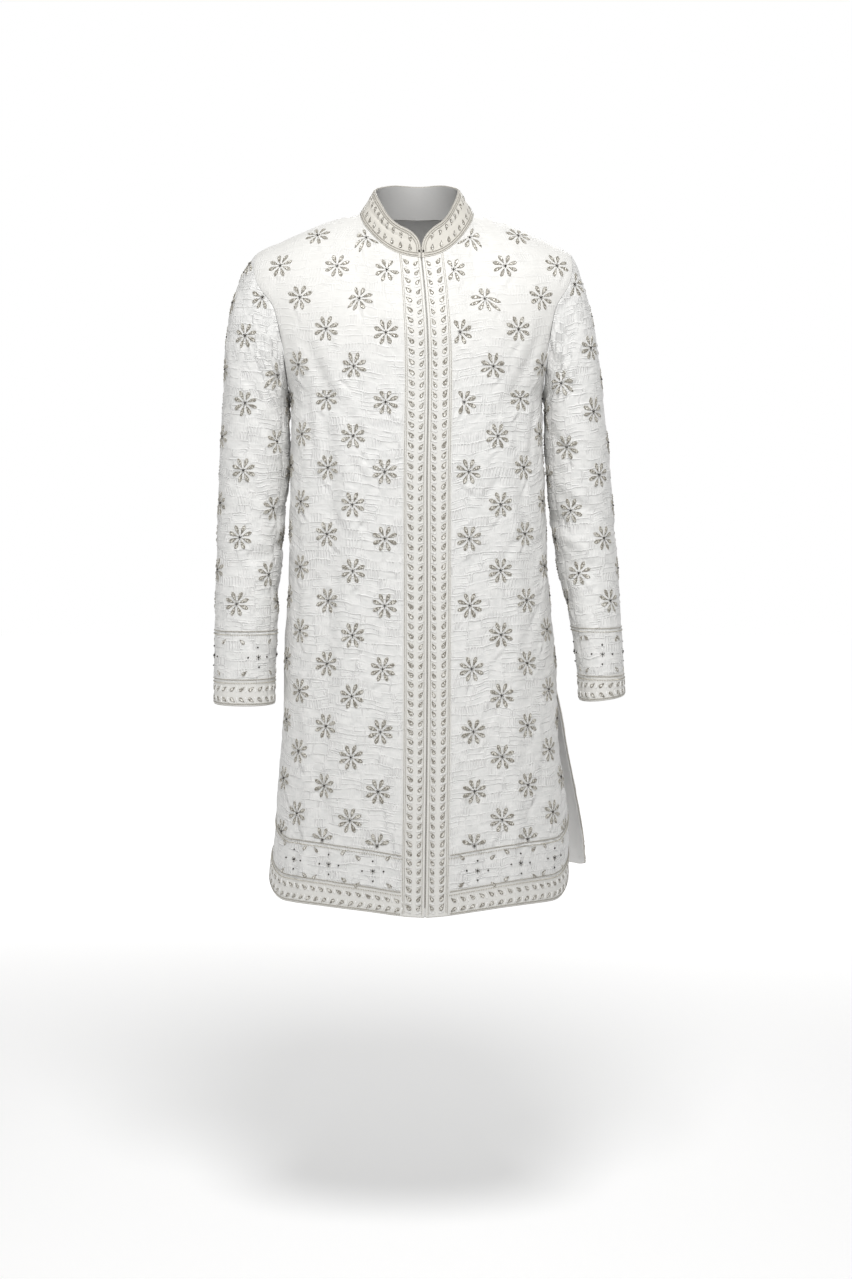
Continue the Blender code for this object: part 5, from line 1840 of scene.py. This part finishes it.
def raised_lines(look, u, v):
    """The cloth's own raised lines: uneven bricks, some filled with lines or with a smaller box."""
    place = look.vector(u, v)
    drift_u = look.noise(look.vector(u, v, 3.0), 17.0, 1.0)
    drift_v = look.noise(look.vector(u, v, 9.0), 22.0, 2.0)
    x = look.times_plus(drift_u, BRICK_DRIFT[0], u)
    strip = look.whole(look.times(x, 1000 / STRIP))
    jog = look.times(look.chance(look.vector(strip, 8.0)), BRICK[1])
    y = look.math("ADD", look.times_plus(drift_v, BRICK_DRIFT[1], v), jog)
    row = look.math("DIVIDE", y, BRICK[1])
    whole_row = look.whole(row)
    shift = look.chance(look.vector(whole_row, 5.0))
    column = look.times_plus(x, 1 / BRICK[0], shift)
    pick = look.chance(look.vector(look.whole(column), whole_row))
    width, height = BRICK[0] * 1000, BRICK[1] * 1000
    across = look.times(look.math("FRACT", column), width)
    up = look.times(look.math("FRACT", row), height)
    side = look.fold(across, width / 2)
    end = look.fold(up, height / 2)
    upright = look.fold(across, UPRIGHT_GAP / 2)
    level = look.fold(up, height / 4)
    is_upright = look.math("GREATER_THAN", pick, UPRIGHT_ABOVE)
    is_level = look.math("LESS_THAN", pick, LEVEL_BELOW)
    is_box = look.times(look.math("GREATER_THAN", pick, LEVEL_BELOW),
                        look.math("LESS_THAN", pick, BOX_BELOW))
    box = look.math("ABSOLUTE", look.math("SUBTRACT", look.least(side, end), BOX_INSET))
    strip_side = look.fold(look.times(x, 1000), STRIP / 2)
    side = look.least(side, strip_side)
    away = look.least(look.math("ADD", side, SIDE_THINNER), end)
    for kind, inside in ((is_upright, upright), (is_level, level), (is_box, box)):
        beyond = look.times_plus(look.rest(kind), FAR_AWAY, inside)
        away = look.least(away, beyond)
    line = look.rest(look.step(away, *LINE_EDGE))
    worn = look.step(look.noise(place, *WEAR_NOISE), *WEAR_EDGE)
    worn = look.times_plus(worn, 1 - LEAST_WORN, LEAST_WORN)
    # a strip just below each brick's top, under the raised line above it: painted shade
    edges = [height - edge for edge in LINE_SHADE_EDGES]
    under = look.times(look.step(up, *edges[:2]), look.rest(look.step(up, *edges[2:])))
    return look.times(line, worn), look.times(under, worn)


def silk(name, plain):
    """Ivory silk with a fine slub; unless plain, its open parts carry the raised lines."""
    look = Look(name, Roughness=0.5, Sheen_Weight=0.22, Sheen_Roughness=0.4,
                Specular_IOR_Level=0.35)
    u, v = look.cloth_place()
    slub = look.noise(look.vector(look.times(u, SLUB_STRETCH), v), *SLUB_NOISE)
    weave = look.noise(look.vector(u, v, WEAVE_LAYER), *WEAVE_NOISE)
    fine = look.times_plus(weave, WEAVE_HEIGHT, look.times(slub, SLUB_HEIGHT))
    if plain:
        # the collar's colours hold painted shade as well as its cream
        look.colour(look.mix(slub, *COLLAR_COLOURS_WITH_SHADE))
        look.bump(fine)
        return look.material
    border = look.node("Attribute", attribute_type="GEOMETRY", attribute_name="smooth")["Fac"]
    open_cloth = look.rest(border)
    lines, under = raised_lines(look, u, v)
    lines = look.times(lines, open_cloth)
    place = look.vector(look.times(u, CRUMPLE_STRETCH), v, CRUMPLE_LAYER)
    crumple = look.noise(place, *CRUMPLE_NOISE)
    # darker where the crumple noise, which also raises the bump, is low: painted shade
    ground = look.mix(look.step(crumple, *CRUMPLE_SHADE_EDGE), *CRUMPLE_SHADED_GROUND)
    # the ground greys in the strip under each raised line: painted shade
    ground = look.mix(look.times(under, LINE_SHADE_SHARE), ground, PAINTED_LINE_SHADE)
    ground = look.mix(border, ground, look.mix(slub, *BAND_CLOTH))
    look.colour(look.mix(look.times(lines, LINE_SHARE), ground, LINE_COLOUR))
    look.put(look.shader.inputs["Roughness"], look.times_plus(lines, *LINE_ROUGHNESS))
    crumple = look.times(crumple, open_cloth)
    height = look.times_plus(lines, LINE_HEIGHT, fine)
    look.bump(look.times_plus(crumple, CRUMPLE_HEIGHT, height))
    return look.material


def satin(name, colours, ribs):
    """Plain cloth of the lining and of the strip behind the opening."""
    look = Look(name, Roughness=0.55 if ribs else 0.38, Sheen_Weight=0.1, Specular_IOR_Level=0.4)
    u, v = look.cloth_place()
    thread = look.noise(look.vector(look.times(u, SATIN_STRETCH), v), *SATIN_NOISE)
    height = look.times(thread, SATIN_HEIGHT)
    if ribs:
        rib = look.math("SINE", look.times(v, 2 * math.pi / RIB))
        height = look.times_plus(rib, RIB_HEIGHT, height)
    look.colour(look.mix(thread, *colours))
    look.bump(height)
    return look.material


def embroidery_thread(name):
    """Petals and leaves: a dark corded outline round a pale silver filling."""
    look = Look(name, Roughness=0.42, Metallic=0.25, Sheen_Weight=0.1)
    along, inward = look.cloth_place()
    knots = look.step(look.fold(along, KNOT / 2), *KNOT_EDGE)
    outline = look.rest(look.step(inward, *OUTLINE_EDGE))
    rim_share = look.rest(look.step(inward, *RIM_EDGE))
    edge = look.mix(knots, *OUTLINE_THREAD_AND_GLINT[:2])
    place = look.node("TexCoord")["Object"]
    # speckles that stand for beads: painted glints on them and painted shade between them; they also
    # raise bumps
    sparkle = look.step(look.noise(place, *SPARKLE_NOISE), *SPARKLE_EDGE)
    filling = look.mix(sparkle, *FILL_THREAD_SHADE_AND_GLINT)
    edge = look.mix(look.times(sparkle, SPARKLE_SHARE), edge, OUTLINE_THREAD_AND_GLINT[2])
    look.colour(look.mix(rim_share, look.mix(outline, filling, edge), WHITE_THREAD[1]))
    knots = look.times(knots, outline)
    look.bump(look.times_plus(knots, KNOT_HEIGHT, look.times(sparkle, SPARKLE_HEIGHT)))
    return look.material


def twisted_cord(name, colours):
    look = Look(name, Roughness=0.45, Metallic=0.15, Sheen_Weight=0.15)
    along, around = look.cloth_place()
    turn = look.times_plus(along, 2 * math.pi / TWIST, look.times(around, 2 * math.pi))
    twist = look.times_plus(look.math("SINE", turn), 0.5, 0.5)
    look.colour(look.mix(twist, *colours))
    look.bump(look.times(twist, TWIST_HEIGHT))
    return look.material


def white_thread(name):
    look = Look(name, Roughness=0.45, Sheen_Weight=0.2)
    along, inward = look.cloth_place()
    place = look.vector(*map(look.times, (along, inward), STRAND_STRETCH))
    strands = look.noise(place, *STRAND_NOISE)
    look.colour(look.mix(strands, *WHITE_THREAD))
    look.bump(look.times(strands, STRAND_HEIGHT))
    return look.material


def bead(name, dark, light, metallic, roughness):
    look = Look(name, Roughness=roughness, Metallic=metallic)
    place = look.node("TexCoord")["Object"]
    look.colour(look.mix(look.noise(place, 300.0, 1.0), dark, light))
    return look.material


def floor_look():
    look = Look("floor", Roughness=0.8)
    place = look.node("TexCoord")["Object"]
    look.colour(look.mix(look.noise(place, 0.6, 1.0), *FLOOR_COLOURS))
    away = look.node("VectorMath", place, operation="LENGTH")["Value"]
    glow = look.times(look.step(away, *FLOOR_FADE), FLOOR_GLOW - NEAR_GLOW)
    glow = look.math("ADD", glow, NEAR_GLOW)
    look.shader.inputs["Emission Color"].default_value = WHITE_LIGHT
    look.put(look.shader.inputs["Emission Strength"], glow)
    return look.material


# ---- stage, light and camera
def set_stage():
    mesh = bpy.data.meshes.new("floor")
    corners = ((-1, -1), (1, -1), (1, 1), (-1, 1))
    points = [(x * FLOOR_HALF, y * FLOOR_HALF, FLOOR_Z) for x, y in corners]
    mesh.from_pydata(points, [], [(0, 1, 2, 3)])
    mesh.materials.append(floor_look())
    floor = add_object("floor", mesh)

    world = bpy.data.worlds.new("studio")
    bpy.context.scene.world = world
    world.use_nodes = True
    tree = world.node_tree
    tree.nodes.clear()
    shown, light, rays, mixed, out = (tree.nodes.new("ShaderNode" + kind) for kind in (
        "Background", "Background", "LightPath", "MixShader", "OutputWorld"))
    shown.inputs[0].default_value = WHITE_LIGHT
    light.inputs[0].default_value = ROOM_LIGHT
    light.inputs[1].default_value = AMBIENT
    for source, socket in ((rays.outputs["Is Camera Ray"], mixed.inputs[0]),
                           (light.outputs[0], mixed.inputs[1]), (shown.outputs[0], mixed.inputs[2]),
                           (mixed.outputs[0], out.inputs[0])):
        tree.links.new(source, socket)

    for name, place, aim, size, power in LIGHTS:
        lamp = bpy.data.lights.new(name, "AREA")
        lamp.shape = "DISK"
        lamp.size = size
        lamp.energy = power
        item = add_object(name, lamp)
        item.location = place
        item.rotation_euler = (Vector(aim) - Vector(place)).to_track_quat("-Z", "Y").to_euler()
    bpy.context.scene.view_settings.view_transform = "Standard"


def set_camera():
    data = bpy.data.cameras.new("camera")
    data.sensor_fit = "AUTO"
    data.sensor_width = CAMERA_SENSOR
    data.lens = CAMERA_LENS
    data.clip_end = CAMERA_REACH
    camera = add_object("camera", data)
    camera.location = CAMERA_PLACE
    camera.rotation_euler = (math.radians(90.0 - CAMERA_PITCH), 0.0, 0.0)
    bpy.context.scene.camera = camera


# ---- the coat
def build():
    set_camera()
    silk_cloth = silk("ivory_silk", plain=False)
    collar_silk = silk("collar_silk", plain=True)
    lining = satin("lining_satin", LINING_COLOURS, ribs=False)
    ribbed = satin("underlap_cloth", UNDERLAP_COLOURS, ribs=True)
    stitches = [embroidery_thread("embroidery_thread"), bead("silver_beads", *SILVER_BEAD),
                bead("dark_beads", *DARK_METAL), twisted_cord("silver_cord", CORD_THREAD),
                white_thread("white_thread"), twisted_cord("piping_cord", PIPING_THREAD)]
    cloth = [silk_cloth, lining]

    fronts = {side: torso_cloth(side, "front") for side in "RL"}
    back = join_halves(torso_cloth("R", "back"), torso_cloth("L", "back"))
    sleeves = {}
    for side, edge in (("R", 0), ("L", -1)):
        front = fronts[side]
        sleeves[side] = sleeve_cloth(side, armhole_ring(
            front.grid[LOW_ROWS:, -1], front.normals[LOW_ROWS:, -1],
            back.grid[LOW_ROWS:, edge], back.normals[LOW_ROWS:, edge]))
    collar = collar_cloth(neck_line(fronts["R"].grid, back.grid, fronts["L"].grid))

    panels = {}
    pieces = {}
    for side, front in fronts.items():
        places = flower_places(front)
        raise_face(front, places)
        name = "front_" + side_name(side)
        panels[name] = cloth_wall(name + "_cloth", front, cloth)
        pieces[name] = front_embroidery(front, places, side).make(name + "_embroidery", stitches)
    places = flower_places(back)
    raise_face(back, places)
    panels["back"] = cloth_wall("back_cloth", back, cloth)
    pieces["back"] = back_embroidery(back, places).make("back_embroidery", stitches)
    for side, sleeve in sleeves.items():
        places = sleeve_flowers(sleeve, side)
        raise_face(sleeve, places)
        upper, under = "sleeve_upper_" + side, "sleeve_under_" + side
        panels[upper], panels[under] = sleeve_walls(side, sleeve, cloth)
        pieces[upper] = sleeve_embroidery(sleeve, places, side).make(
            "sleeve_" + side + "_embroidery", stitches)
    panels["collar"] = collar_wall(collar, [collar_silk, lining])
    pieces["collar"] = collar_embroidery(collar).make("collar_embroidery", stitches)
    panels["front_underlap"] = underlap_wall([ribbed, lining])
    panels["back_lining"] = lining_wall(back, [lining, lining])
    piping = edge_piping([*fronts.values(), back], sleeves.values(), collar)
    pieces["piping"] = piping.make("edge_piping", stitches)

    for node, panel in panels.items():
        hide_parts(node)
        SLOTS.get(node, "coat_cloth")
        flat, area, rests = CUT[node]
        on_it = [pieces[node]] if node in pieces else []
        if node == "front_right":
            on_it.append(pieces["piping"])
        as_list(rests)


build()
set_stage()
